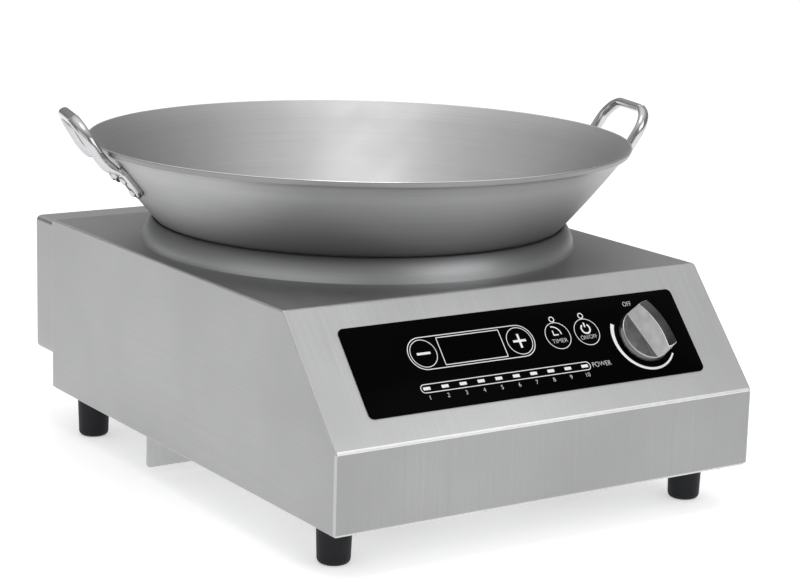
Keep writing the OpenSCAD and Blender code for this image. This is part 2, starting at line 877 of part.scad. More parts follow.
module power_spacers() {
    color([0.75, 0.7, 0.5])
    casing_frame() power_places() difference() {
        hole(spacer_d, 0, power_up);
        hole(m3 + 2 * fit, -eps, power_up + eps);
    }
}

module power_screws() {
    color([0.6, 0.6, 0.62])
    casing_frame() power_places() translate([0, 0, power_up + board_t])
        screw(m3, power_up + board_t + base_t);
}

// Frame of the power board's upper face, in its middle
module power_frame(x, y) {
    casing_frame() translate([power_x + x, power_from_front + y, power_up + board_t]) children();
}

module heat_sink() {
    color([0.78, 0.78, 0.8])
    power_frame(sink_x, sink_y) translate([-sink_w / 2, -sink_d / 2, transistor_t]) {
        cube([sink_w, sink_d, sink_base]);
        for (i = [0:fin_count - 1]) translate([i * (fin_t + fin_gap), 0, 0]) cube([fin_t, sink_d, sink_h]);
    }
}

module power_transistors() {
    color([0.08, 0.08, 0.08])
    for (i = [-1, 0, 1]) power_frame(sink_x + i * transistor_pitch, sink_y)
        translate([-transistor_w / 2, -transistor_l / 2, 0]) cube([transistor_w, transistor_l, transistor_t]);
}

module filter_capacitors() {
    color([0.75, 0.62, 0.2])
    for (i = [0, 1]) power_frame(cap_x + i * cap_pitch, cap_y)
        translate([-cap_w / 2, -cap_l / 2, 0]) cube([cap_w, cap_l, cap_h]);
}

module filter_choke() {
    outline = [[choke_in_r, 0], [choke_r, 0], [choke_r, choke_h], [choke_in_r, choke_h]];
    color([0.7, 0.4, 0.18])
    power_frame(choke_x, choke_y)
        revolve(rounded(outline, [choke_in_round, choke_round, choke_round, choke_in_round]));
}

module terminal_block() {
    color([0.9, 0.9, 0.86])
    power_frame(terminal_x, terminal_y) difference() {
        translate([-terminal_w / 2, -terminal_d / 2, 0]) cube([terminal_w, terminal_d, terminal_h]);
        for (i = [-1, 0, 1]) translate([i * terminal_pitch, 0, 0]) {
            hole(terminal_screw_d, terminal_screw_low, terminal_h + eps);
            translate([0, terminal_d / 2 + eps, terminal_wire_up]) rotate([90, 0, 0])
                cylinder(h = terminal_wire_l + eps, d = terminal_wire_d);
        }
    }
}

// Square fan frame that lies on the base plate, with its motor on three struts
module fan_frame(side) {
    color([0.1, 0.1, 0.11])
    casing_frame() translate([side * fan_x, fan_from_front, 0]) difference() {
        union() {
            difference() {
                translate([-fan_w / 2, -fan_w / 2, 0]) cube([fan_w, fan_w, fan_h]);
                hole(fan_bore_d, -eps, fan_h + eps);
            }
            for (a = [30:120:270]) rotate(a) translate([0, -strut_w / 2, 0])
                cube([fan_bore_d / 2 + 1, strut_w, strut_h]);
            hole(stator_d, 0, stator_h);
        }
        for (i = [-1, 1], j = [-1, 1]) translate([i * fan_hole / 2, j * fan_hole / 2, 0])
            hole(m4 + 4 * fit, -eps, fan_h + eps);
        hole(fan_shaft_d + 2 * shaft_play, 2, fan_h);
    }
}

module fan_frame_left() {
    fan_frame(-1);
}

module fan_frame_right() {
    fan_frame(1);
}

// Cup hub over the motor, with pitched blades and its shaft
module fan_rotor(side) {
    hub_in = rotor_hub_d - 2 * rotor_wall;
    color([0.16, 0.16, 0.17])
    casing_frame() translate([side * fan_x, fan_from_front, 0]) {
        difference() {
            union() {
                hole(rotor_hub_d, rotor_low, rotor_top);
                intersection() {
                    hole(rotor_d, rotor_low - 4, rotor_top);
                    for (i = [0:blade_count - 1]) rotate(i * 360 / blade_count)
                        translate([hub_in / 2 + rotor_wall / 2, 0, (rotor_low - 4 + rotor_top) / 2])
                            rotate([side * blade_pitch, 0, 0])
                                translate([0, -blade_t / 2, -blade_chord / 2])
                                    cube([rotor_d, blade_t, blade_chord]);
                }
            }
            hole(hub_in, rotor_low - 5, rotor_top - rotor_wall);
        }
        hole(fan_shaft_d, 2 + play, rotor_top - rotor_wall / 2);
    }
}

module fan_rotor_left() {
    fan_rotor(-1);
}

module fan_rotor_right() {
    fan_rotor(1);
}

module fan_screws() {
    color([0.6, 0.6, 0.62])
    casing_frame() fan_screw_places() translate([0, 0, fan_h]) screw(m4, fan_h + base_t);
}

// Frame on the pan's outer wall: X along the rim, Y up the wall, Z out of it
module wall_frame(azimuth, s) {
    p = tab_mid + tab_dir * s;
    bowl_frame() rotate(azimuth) translate([p[0], 0, p[1]])
        rotate([0, 180 - tab_angle, 0]) rotate([0, 0, 90]) children();
}

// Places of the rivets of both handles, as azimuths of the handle feet
module rivet_places() {
    for (turn = [0, 180], side = [-1, 1], s = rivet_s)
        wall_frame(handle_turn + turn + side * handle_half_angle, s) children();
}

// Spun pan: dished bottom, flared wall that steepens upwards, rim thickened outwards into a bead
module wok_pan() {
    inner_r = pan_r - pan_t;
    bend = wall_end + [flare_w, flare_h];
    top = wall_end[1] + lip_h;
    lip = [wall_end, bend, [pan_rim_r, top], [pan_rim_r - pan_t, top], wall(pan_t, wall_top_angle)];
    outer = concat(dish_arc(pan_r, 0, knee_angle), wall_arc(0, knee_angle, wall_top_angle));
    inner = concat(wall_arc(pan_t, wall_top_angle, knee_angle), dish_arc(inner_r, knee_angle, 0));
    color([0.66, 0.66, 0.67])
    difference() {
        bowl_frame() revolve(concat(outer, rounded(lip, [0, lip_round, rim_round, rim_round, 0]), inner));
        rivet_places() hole(rivet_d + 2 * fit, -2 * pan_t, pan_t);
    }
}

// Path of a handle's bar, half of it mirrored: out of the foot, past the rim, up and round the loop.
// Points are [outwards from the axis, along the rim, up from the casing's lower edge].
function handle_half() =
    let (half = handle_w / 2,
         inner = half - bar_in_plane / 2,
         foot = tab_mid + tab_dir * (tab_high + 0.5) + tab_out * (tab_t / 2 + fit),
         low = [sqrt(foot[0] * foot[0] - half * half), foot[1]],
         past = sqrt(pan_rim_r * pan_rim_r - inner * inner) + bar_across / 2 / sin(handle_lean) + 6 * play,
         start = [past, wall_end[1] + lip_h] - bar_drop * [1 / tan(handle_lean), 1],
         jog = start - [5, 5.5],
         up = [cos(handle_lean), sin(handle_lean)],
         straight = handle_rise - loop_round)
    concat([for (p = [low, (low + jog) / 2, jog, start]) [p[0], half, p[1]]],
        [for (k = [0.5, 1]) [start[0] + up[0] * straight * k, half, start[1] + up[1] * straight * k]],
        [for (i = [1:loop_steps])
            let (a = 90 * i / loop_steps, s = straight + loop_round * sin(a))
            [start[0] + up[0] * s, half - loop_round * (1 - cos(a)), start[1] + up[1] * s]]);

function handle_path() =
    let (h = handle_half(), n = len(h))
    concat(h, [for (i = [n - 1:-1:0]) [h[i][0], -h[i][1], h[i][2]]]);

// Size of the bar at a ring of the path: flat at the foot, oval after two rings
function bar_size(ring, flat, full) = flat + (full - flat) * min(ring, 2) / 2;

// Oval bar swept along the path; its wider axis is square to the loop's plane
module bar_sweep(path) {
    n = len(path);
    square = [sin(handle_lean), 0, -cos(handle_lean)];
    points = [for (i = [0:n - 1])
        let (d = unit(path[min(i + 1, n - 1)] - path[max(i - 1, 0)]),
             wide = unit(square - d * (square * d)),
             side = cross(d, wide),
             ring = min(i, n - 1 - i),
             rx = bar_size(ring, tab_d * 0.75, bar_in_plane) / 2,
             ry = bar_size(ring, tab_t * 0.9, bar_across) / 2)
        for (k = [0:bar_sides - 1])
            let (a = 360 * k / bar_sides)
            path[i] + side * (rx * cos(a)) + wide * (ry * sin(a))];
    walls = [for (i = [0:n - 2], k = [0:bar_sides - 1])
        let (a = i * bar_sides + k, b = i * bar_sides + (k + 1) % bar_sides)
        each [[a, b, a + bar_sides], [b, b + bar_sides, a + bar_sides]]];
    last = (n - 1) * bar_sides;
    ends = [for (k = [1:bar_sides - 2]) each [[0, k + 1, k], [last, last + k, last + k + 1]]];
    polyhedron(points = points, faces = concat(walls, ends));
}

// Loop handle: bar with a flat foot at each end
module wok_handle(turn) {
    azimuth = handle_turn + turn;
    color([0.78, 0.78, 0.79])
    difference() {
        union() {
            bowl_frame() rotate(azimuth) bar_sweep(handle_path());
            for (side = [-1, 1]) wall_frame(azimuth + side * handle_half_angle, 0) hull() {
                translate([0, tab_low, fit]) cylinder(h = tab_t, d = tab_d, $fn = 32);
                translate([0, tab_high, fit]) cylinder(h = tab_t, d = tab_d * 0.8, $fn = 32);
            }
        }
        for (side = [-1, 1], s = rivet_s)
            wall_frame(azimuth + side * handle_half_angle, s) hole(rivet_d + 2 * fit, -eps, tab_t + eps);
    }
}

module wok_handle_left() {
    wok_handle(180);
}

module wok_handle_right() {
    wok_handle(0);
}

module wok_rivets() {
    color([0.7, 0.7, 0.71])
    rivet_places() {
        hole(rivet_d, -pan_t, tab_t + 2 * fit);
        translate([0, 0, tab_t + 2 * fit]) cylinder(h = 2, d1 = rivet_head_d, d2 = rivet_head_d * 0.6);
    }
}

upper_casing();
base_plate();
rear_hood();
air_baffle();
foot_front_left();
foot_front_right();
foot_rear_left();
foot_rear_right();
foot_screws();
base_screws();
hood_screws();
baffle_screws();
cable_bushing();
bowl_ring();
bowl_seal();
glass_bowl();
insulation_pad();
coil_winding();
coil_carrier();
ferrite_bars();
carrier_posts();
carrier_screws();
temperature_sensor();
control_overlay();
display_window();
minus_key();
plus_key();
timer_key();
power_key();
level_lights();
mode_lights();
display_module();
control_board();
board_spacers();
board_screws();
push_switches();
potentiometer();
pot_nut();
pot_shaft();
control_knob();
power_board();
power_spacers();
power_screws();
heat_sink();
power_transistors();
filter_capacitors();
filter_choke();
terminal_block();
fan_frame_left();
fan_frame_right();
fan_rotor_left();
fan_rotor_right();
fan_screws();
wok_pan();
wok_handle_left();
wok_handle_right();
wok_rivets();
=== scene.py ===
"""Looks of a counter-top induction wok hob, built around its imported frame."""

from math import asin, atan2, cos, pi, radians, sin, sqrt, tan

import bmesh
import bpy
from bpy.props import FloatProperty, FloatVectorProperty, IntProperty, PointerProperty
from mathutils import Matrix, Vector


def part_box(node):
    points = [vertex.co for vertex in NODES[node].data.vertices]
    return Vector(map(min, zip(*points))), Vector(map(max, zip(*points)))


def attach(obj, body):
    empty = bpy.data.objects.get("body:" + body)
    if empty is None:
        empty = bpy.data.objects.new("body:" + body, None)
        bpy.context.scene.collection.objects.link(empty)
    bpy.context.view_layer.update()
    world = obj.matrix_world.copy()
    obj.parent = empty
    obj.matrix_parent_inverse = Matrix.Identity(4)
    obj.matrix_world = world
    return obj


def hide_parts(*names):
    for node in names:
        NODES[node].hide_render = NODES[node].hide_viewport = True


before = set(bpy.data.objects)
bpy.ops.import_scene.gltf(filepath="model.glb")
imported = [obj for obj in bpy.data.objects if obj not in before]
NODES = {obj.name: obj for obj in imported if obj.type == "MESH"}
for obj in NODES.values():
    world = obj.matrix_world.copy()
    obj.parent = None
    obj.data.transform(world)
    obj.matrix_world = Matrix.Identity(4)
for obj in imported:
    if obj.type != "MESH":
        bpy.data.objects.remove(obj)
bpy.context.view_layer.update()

bl_info = {
    "name": "Induction Wok Hob",
    "version": (1, 0, 0),
    "blender": (4, 5, 0),
    "location": "View3D > Sidebar > Hob",
    "description": "Dresses the frame of a counter-top induction wok hob",
    "category": "Object",
}

CASING_LOW, CASING_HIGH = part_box("upper_casing")
CASING_HEIGHT = CASING_HIGH.z - CASING_LOW.z
HOOD_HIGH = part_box("rear_hood")[1]
FRONT_Y = CASING_LOW.y
LOW_Z = CASING_LOW.z

MM = 0.001
NEAR = 1e-5
FLAT = 0.999


def length(label, description, default):
    return FloatProperty(name=label, description=description, default=default, unit="LENGTH", precision=5)


def angle(label, description, degrees):
    return FloatProperty(name=label, description=description, default=radians(degrees), subtype="ANGLE")


def colour(label, description, default):
    return FloatVectorProperty(
        name=label, description=description, default=default, subtype="COLOR", size=3, min=0, max=1
    )


class HobSizes(bpy.types.PropertyGroup):
    """Sizes of the dressed pieces"""

    front_height: length("Front height", "Height of the upright front", 0.053)
    slope_run: length("Slope run", "Depth of the control face seen from above", 0.067)
    edge_round: length("Edge round", "Radius of the casing's side edges", 0.0014)
    bowl_from_front: length("Bowl axis", "From the front to the bowl's axis", 0.247)
    dish_radius: length("Dish radius", "Inner radius of the dished bowl", 0.199)
    bowl_rim: length("Bowl rim", "Radius of the bowl's rim", 0.144)
    bowl_rise: length("Bowl rise", "Height of the bowl's rim above the casing", 0.0106)
    bowl_wall: length("Bowl wall", "Thickness of the bowl", 0.004)
    ring_radius: length("Ring radius", "Radius of the ring's foot", 0.159)
    ring_height: length("Ring height", "Height of the ring's shoulder before rounding", 0.0178)
    ring_sheet: length("Ring sheet", "Thickness of the ring", 0.0012)
    ring_swell: length("Ring swell", "Swell of the ring's wall", 0.0022)
    ring_round: length("Ring round", "Radius of the ring's top", 0.0020)
    pan_rim: length("Pan rim", "Radius of the pan's rim", 0.198)
    pan_wall: length("Pan wall", "Thickness of the pan", 0.0015)
    pan_gap: length("Pan gap", "Gap between the pan and the bowl", 0.0004)
    pan_knee: angle("Pan knee", "Turn of the pan's knee past the bowl's rim", 2.03)
    wall_bow: angle("Wall bow", "Turn of the pan's wall up to its rim", 5)
    lip_width: length("Rim width", "Width of the pan's rim bead", 0.0068)
    lip_height: length("Rim height", "Height of the pan's rim bead", 0.0075)
    flare_width: length("Flare width", "Width of the flare under the bead", 0.0050)
    flare_height: length("Flare height", "Height of the flare under the bead", 0.0030)
    handle_turn: angle("Handle turn", "Direction of the right handle", -15)
    handle_lean: angle("Handle lean", "Lean of a handle from the level", 58)
    handle_width: length("Handle width", "Distance between the legs of a handle", 0.070)
    handle_rise: length("Handle rise", "Length of a handle's loop", 0.029)
    handle_round: length("Handle corner", "Radius of a handle's corners", 0.019)
    bar_across: length("Bar across", "Thickness of a handle's bar", 0.0084)
    bar_in_plane: length("Bar in plane", "Width of a handle's bar", 0.0066)
    overlay_middle: length("Overlay middle", "From the lower crease to the overlay's middle", 0.0517)
    overlay_width: length("Overlay width", "Width of the control overlay", 0.274)
    overlay_height: length("Overlay height", "Height of the control overlay", 0.065)
    overlay_depth: length("Overlay depth", "Thickness of the control overlay", 0.001)
    print_height: length("Print height", "Thickness of the printed marks", 0.00004)
    key_row: length("Key row", "Height of the keys above the overlay's middle", 0.0077)
    knob_across: length("Knob across", "Knob's place right of the overlay's middle", 0.0966)
    knob_up: length("Knob up", "Knob's place above the overlay's middle", -0.0017)
    knob_size: length("Knob size", "Diameter of the knob", 0.039)
    knob_height: length("Knob height", "Height of the knob above the control face", 0.0246)
    knob_bar: length("Knob bar", "Width of the knob's bar", 0.0098)
    knob_crown: length("Knob crown", "Height of the crown along the bar's top", 0.0045)
    knob_rest: angle("Knob rest", "Turn of the knob's bar at rest", 16)
    round_steps: IntProperty(name="Round steps", description="Steps round a turned part", default=192, min=48)


class HobColours(bpy.types.PropertyGroup):
    """Colours of the finishes"""

    casing: colour("Casing", "Brushed casing sheet", (0.455, 0.457, 0.461))
    # Lighter than the casing: a painted highlight on the bent edges
    edge: colour("Edge", "Bent edges of the casing", (0.54, 0.54, 0.54))
    ring: colour("Ring", "Polished bowl ring", (0.46, 0.464, 0.47))
    pan: colour("Pan", "Satin inside of the pan", (0.50, 0.50, 0.50))
    pan_outside: colour("Pan outside", "Duller outside of the pan", (0.53, 0.532, 0.536))
    handle: colour("Handle", "Polished handle", (0.56, 0.56, 0.57))
    knob: colour("Knob", "Satin knob", (0.95, 0.95, 0.95))
    knob_face: colour("Knob face", "Darker faces of the knob", (0.12, 0.12, 0.122))
    panel: colour("Panel", "Black panel film", (0.0010, 0.0010, 0.0011))
    marks: colour("Print", "White print on the panel", (0.95, 0.95, 0.95))
    window: colour("Window", "Dark display window", (0.0012, 0.001, 0.001))
    rubber: colour("Rubber", "Rubber feet", (0.012, 0.0125, 0.0155))
    glass: colour("Bowl", "Black glass bowl", (0.010, 0.010, 0.012))


def sizes():
    return bpy.context.scene.hob_sizes


def colours():
    return bpy.context.scene.hob_colours


# Node materials


class Surface:
    """The nodes of a new material or world, and the shader they end in"""

    def __init__(self, name, group="materials", shader="Principled BSDF"):
        self.data = getattr(bpy.data, group).new(name)
        self.data.use_nodes = True
        self.nodes = self.data.node_tree.nodes
        self.links = self.data.node_tree.links
        self.shader = self.nodes[shader]

    def set(self, **values):
        for key, value in values.items():
            self.shader.inputs[key.replace("_", " ")].default_value = value

    def add(self, kind, sockets=None, **settings):
        """New node with its settings made, and its sockets set or linked"""
        node = self.nodes.new(kind)
        for key, value in settings.items():
            setattr(node, key, value)
        for key, value in (sockets or {}).items():
            self.feed(node.inputs[key], value)
        return node

    def feed(self, target, value):
        """Links the value to the target if it is a socket, and sets it there if not"""
        if isinstance(value, bpy.types.NodeSocket):
            self.links.new(value, target)
        else:
            target.default_value = value

    def noise(self, scale, stretch=(1, 1, 1), detail=3.0, roughness=0.55):
        place = self.add("ShaderNodeTexCoord").outputs["Object"]
        mapping = self.add("ShaderNodeMapping", {"Vector": place, "Scale": stretch})
        vector = mapping.outputs["Vector"]
        sockets = {"Vector": vector, "Scale": scale, "Detail": detail, "Roughness": roughness}
        return self.add("ShaderNodeTexNoise", sockets).outputs["Fac"]

    def spread(self, value, low, high, from_low=0.25, from_high=0.75):
        ends = {"From Min": from_low, "From Max": from_high, "To Min": low, "To Max": high}
        return self.add("ShaderNodeMapRange", {"Value": value, **ends}).outputs["Result"]

    def mix(self, factor, first, second, blend="MIX"):
        node = self.add("ShaderNodeMix", {"Factor": factor}, data_type="RGBA", blend_type=blend)
        for socket, value in (("A", first), ("B", second)):
            target = next(s for s in node.inputs if s.name == socket and s.type == "RGBA")
            self.feed(target, value if isinstance(value, bpy.types.NodeSocket) else (*value, 1))
        return next(s for s in node.outputs if s.type == "RGBA")

    def drive(self, socket, value):
        self.links.new(value, self.shader.inputs[socket])

    def cross(self, first, second):
        node = self.add("ShaderNodeVectorMath", {0: first, 1: second}, operation="CROSS_PRODUCT")
        return node.outputs["Vector"]

    def finish(self, tone, rough, relief, strength, distance):
        """Leads the colour, roughness and relief to the shader"""
        self.drive("Base Color", tone)
        self.drive("Roughness", rough)
        node = self.add("ShaderNodeBump", {"Height": relief, "Strength": strength, "Distance": distance})
        self.drive("Normal", node.outputs["Normal"])
        return self.data

    def normal(self):
        return self.add("ShaderNodeNewGeometry").outputs["Normal"]


def shade(value, factor):
    return tuple(min(1.0, c * factor) for c in value)


LINES = (0.3, 0.7)


def brushed(name, value, rough, stretch=(2600, 9, 9), turner=(0, 1, 1), bump=0.10, drawn=0.15):
    """Brushed sheet: fine streaks along the low-frequency axis, faint clouding across the sheet.
    The normal crossed with the turner points across the streaks, the way reflections are drawn out"""
    surface = Surface(name)
    surface.set(Metallic=1.0, Anisotropic=drawn)
    surface.drive("Tangent", surface.cross(surface.normal(), turner))
    streaks = surface.noise(1.0, stretch, detail=4.0, roughness=0.7)
    clouds = surface.noise(7.0)
    grain = surface.noise(1300.0, detail=2.0)
    streaked = surface.mix(surface.spread(streaks, 0, 1, *LINES), shade(value, 0.82), shade(value, 1.18))
    grained = surface.mix(surface.spread(grain, 0, 0.5), streaked, shade(value, 0.85))
    tone = surface.mix(surface.spread(clouds, 0, 0.8), grained, shade(value, 0.76))
    return surface.finish(tone, surface.spread(streaks, *rough, *LINES), streaks, bump, distance=0.00006)


def spun(name, value, rough, streak=0.06, bump=0.06, drawn=0.3, painted_shade=None):
    """Turned steel: faint rings round the upright axis, made from the radius and the height.
    The painted shade gives two heights and the share of the colour that is left at the first: the colour is
    darkened towards the first height, as painted shade"""
    surface = Surface(name)
    surface.set(Metallic=1.0, Anisotropic=drawn)
    place = surface.add("ShaderNodeTexCoord").outputs["Object"]
    middle = surface.add("ShaderNodeVectorMath", {0: place, 1: (*bowl_centre(), 0)}, operation="SUBTRACT")
    split = surface.add("ShaderNodeSeparateXYZ", {"Vector": middle.outputs["Vector"]}).outputs
    flat = surface.add("ShaderNodeCombineXYZ", {"X": split["X"], "Y": split["Y"]}).outputs["Vector"]
    surface.drive("Tangent", surface.cross(surface.normal(), surface.cross((0, 0, 1), flat)))
    radius = surface.add("ShaderNodeVectorMath", {0: flat}, operation="LENGTH").outputs["Value"]
    rings = surface.add("ShaderNodeCombineXYZ", {"X": radius, "Z": split["Z"]}).outputs["Vector"]
    texture = surface.add("ShaderNodeTexNoise", {"Vector": rings, "Scale": 900.0, "Detail": 3.0})
    lines = texture.outputs["Fac"]
    clouds = surface.noise(14.0)
    light, dark = shade(value, 1 + streak), shade(value, 1 - streak)
    lined = surface.mix(surface.spread(lines, 0, 1, *LINES), dark, light)
    tone = surface.mix(surface.spread(clouds, 0, 0.6), lined, shade(value, 0.94))
    # Painted shade: the colour is multiplied down to the share at the first height
    if painted_shade:
        first, last, share = painted_shade
        height = surface.spread(split["Z"], 1, 0, first, last)
        tone = surface.mix(height, tone, (share,) * 3, "MULTIPLY")
    return surface.finish(tone, surface.spread(clouds, *rough), lines, bump, distance=0.00005)


def plain(name, value, rough, metallic=0.0, grain=900.0, tint=0.12, bump=0.05, gloss=0.5):
    """Moulded, cast or printed finish: fine grain in colour, gloss and height"""
    surface = Surface(name)
    surface.set(Metallic=metallic, Specular_IOR_Level=gloss)
    fine = surface.noise(grain)
    broad = surface.noise(25.0, detail=2.0)
    fined = surface.mix(surface.spread(fine, 0, 1), shade(value, 1 - tint), shade(value, 1 + tint))
    tone = surface.mix(surface.spread(broad, 0, 0.5), fined, shade(value, 0.9))
    return surface.finish(tone, surface.spread(fine, *rough), fine, bump, distance=0.00004)


def smooth_metal(name, value, rough, grain=300, tint=0.04):
    """Bare metal without streaks, such as bends and turned edges"""
    return plain(name, value, rough, 1.0, grain, tint, 0.01)


# Meshes


def mesh_of(name, bm, crisp=None):
    """Mesh with its faces turned outward. Edges sharper than the crisp angle stay hard and the rest
    are smoothed; without an angle, none are"""
    bmesh.ops.recalc_face_normals(bm, faces=bm.faces[:])
    if crisp is not None:
        bm.normal_update()
        for face in bm.faces:
            face.smooth = True
        for edge in bm.edges:
            edge.smooth = len(edge.link_faces) == 2 and edge.calc_face_angle(0) < radians(crisp)
    mesh = bpy.data.meshes.new(name)
    bm.to_mesh(mesh)
    bm.free()
    return mesh


def new_piece(name, bm, body, slot, *materials, crisp=35):
    piece = bpy.data.objects.new(name, mesh_of(name, bm, crisp))
    bpy.context.scene.collection.objects.link(piece)
    for material in materials:
        piece.data.materials.append(material)
    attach(piece, body)
    return piece


def move(bm, matrix):
    bmesh.ops.transform(bm, matrix=matrix, verts=bm.verts[:])


def weigh_normals(piece):
    weighted = piece.modifiers.new("Weighted", "WEIGHTED_NORMAL")
    weighted.keep_sharp = True


def between(first, last, steps):
    """Evenly spaced values from the first to the last"""
    return [first + (last - first) * i / steps for i in range(steps + 1)]


def circle_outline(x, y, radius, steps=48):
    turns = between(0, 2 * pi, steps)[:-1]
    return [(x + radius * cos(a), y + radius * sin(a)) for a in turns]


def band(bm, first, second, material=0):
    """Faces between two rings of the same count"""
    for i in range(len(first)):
        j = (i + 1) % len(first)
        bm.faces.new((first[i], first[j], second[j], second[i])).material_index = material


def tube(bm, rings):
    """Closed skin over rings of the same count"""
    for first, second in zip(rings, rings[1:]):
        band(bm, first, second)
    bm.faces.new(list(reversed(rings[0])))
    bm.faces.new(rings[-1])


def revolve(bm, profile, steps, place):
    """Closed solid of revolution from (radius, height) points round the Z axis of the place"""
    rings = []
    for radius, height in profile:
        spots = circle_outline(0, 0, radius, steps) if radius > NEAR else [(0, 0)]
        rings.append([bm.verts.new(place @ Vector((x, y, height))) for x, y in spots])
    for a, b in zip(rings, rings[1:] + rings[:1]):
        if len(a) == 1 and len(b) == 1:
            continue
        for i in range(steps):
            j = (i + 1) % steps
            corners = [a[i % len(a)], a[j % len(a)], b[j % len(b)], b[i % len(b)]]
            bm.faces.new(list(dict.fromkeys(corners)))


def turned(profile):
    """Piece that is turned round the bowl's axis"""
    bm = bmesh.new()
    revolve(bm, profile, sizes().round_steps, about_bowl(0))
    return bm


def rounded_corner(before, corner, after, radius, steps):
    """Arc that takes the place of a corner"""
    p, a, b = Vector(corner), Vector(before) - Vector(corner), Vector(after) - Vector(corner)
    a.normalize()
    b.normalize()
    half = a.angle(b) / 2
    centre = p + (a + b).normalized() * (radius / sin(half))
    start = p + a * (radius / tan(half)) - centre
    end = p + b * (radius / tan(half)) - centre
    first = atan2(start.y, start.x)
    turn = (atan2(end.y, end.x) - first + 3 * pi) % (2 * pi) - pi
    turns = between(first, first + turn, steps)
    return [(centre.x + radius * cos(a), centre.y + radius * sin(a)) for a in turns]


def rounded(points, radii, steps):
    """Outline whose corners are rounded by the radii given"""
    out = []
    for i, (point, radius) in enumerate(zip(points, radii)):
        if radius > 0:
            out += rounded_corner(points[i - 1], point, points[(i + 1) % len(points)], radius, steps)
        else:
            out.append(tuple(point))
    return out


def dish_middle():
    s = sizes()
    return CASING_HIGH.z + s.bowl_rise + sqrt(s.dish_radius**2 - s.bowl_rim**2)


def bowl_angle():
    return asin(sizes().bowl_rim / sizes().dish_radius)


def knee_angle():
    return bowl_angle() + sizes().pan_knee


def dish(radius, turn):
    return (radius * sin(turn), dish_middle() - radius * cos(turn))


def dish_arc(radius, first, last, steps=40):
    return [dish(radius, turn) for turn in between(first, last, steps)]


def bowl_centre():
    return (0.0, FRONT_Y + sizes().bowl_from_front)


def about_bowl(turn):
    """Turns a piece about the bowl's axis"""
    return Matrix.Translation((*bowl_centre(), 0)) @ Matrix.Rotation(turn, 4, "Z")


def wall_top_angle():
    return knee_angle() + sizes().wall_bow


def pan_wall(inset, turn):
    """Point of the pan's upper wall, in from its outer face, where the wall rises at the angle given"""
    s = sizes()
    first, last = knee_angle(), wall_top_angle()
    knee = Vector(dish(s.dish_radius - s.pan_gap, first))
    radius = (s.pan_rim - s.lip_width - knee.x) / (sin(last) - sin(first))
    centre = knee - radius * Vector((sin(first), -cos(first)))
    return centre + (radius - inset) * Vector((sin(turn), -cos(turn)))


def pan_wall_arc(inset, first, last, steps=8):
    """Points of that wall between two angles, without the ends"""
    return [tuple(pan_wall(inset, turn)) for turn in between(first, last, steps)[1:-1]]


def face_matrix(across=0.0, up=0.0, out=0.0):
    """Places a piece on the control face: X right, Y up the slope, Z out of it"""
    s = sizes()
    turn = atan2(CASING_HEIGHT - s.front_height, s.slope_run)
    origin = Matrix.Translation((0, FRONT_Y, LOW_Z + s.front_height))
    return origin @ Matrix.Rotation(turn, 4, "X") @ Matrix.Translation((across, s.overlay_middle + up, out))


def merged_copy(node, doubled=1e-6, flat=radians(0.5)):
    """Mesh of a frame node with its doubled corners joined and its flat areas made whole"""
    bm = bmesh.new()
    bm.from_mesh(NODES[node].data)
    bmesh.ops.remove_doubles(bm, verts=bm.verts[:], dist=doubled)
    bmesh.ops.dissolve_limit(bm, angle_limit=flat, verts=bm.verts[:], edges=bm.edges[:])
    return bm


def round_edges(bm, wanted, width, segments, least=0.4):
    """Rounds the wanted edges among those that bend by the least angle"""
    bent = [e for e in bm.edges if len(e.link_faces) == 2 and e.calc_face_angle(0) > least]
    bmesh.ops.bevel(
        bm, geom=[e for e in bent if wanted(e)], offset=width, offset_type="OFFSET", segments=segments,
        profile=0.5, affect="EDGES", clamp_overlap=True,
    )


def dress(material, *nodes):
    """Gives frame nodes a finish in place of their plain one"""
    for node in nodes:
        slots = NODES[node].data.materials
        slots.clear()
        slots.append(material)


# Operators, one for each piece or group of like pieces


# Casing slots: SLOPED and FRONT hold lighter and darker copies of the sheet, painted light and painted shade;
# BENT and CREASE are lighter, painted highlights
ALONG, SIDE, BENT, SLOPED, FRONT, CREASE = range(6)


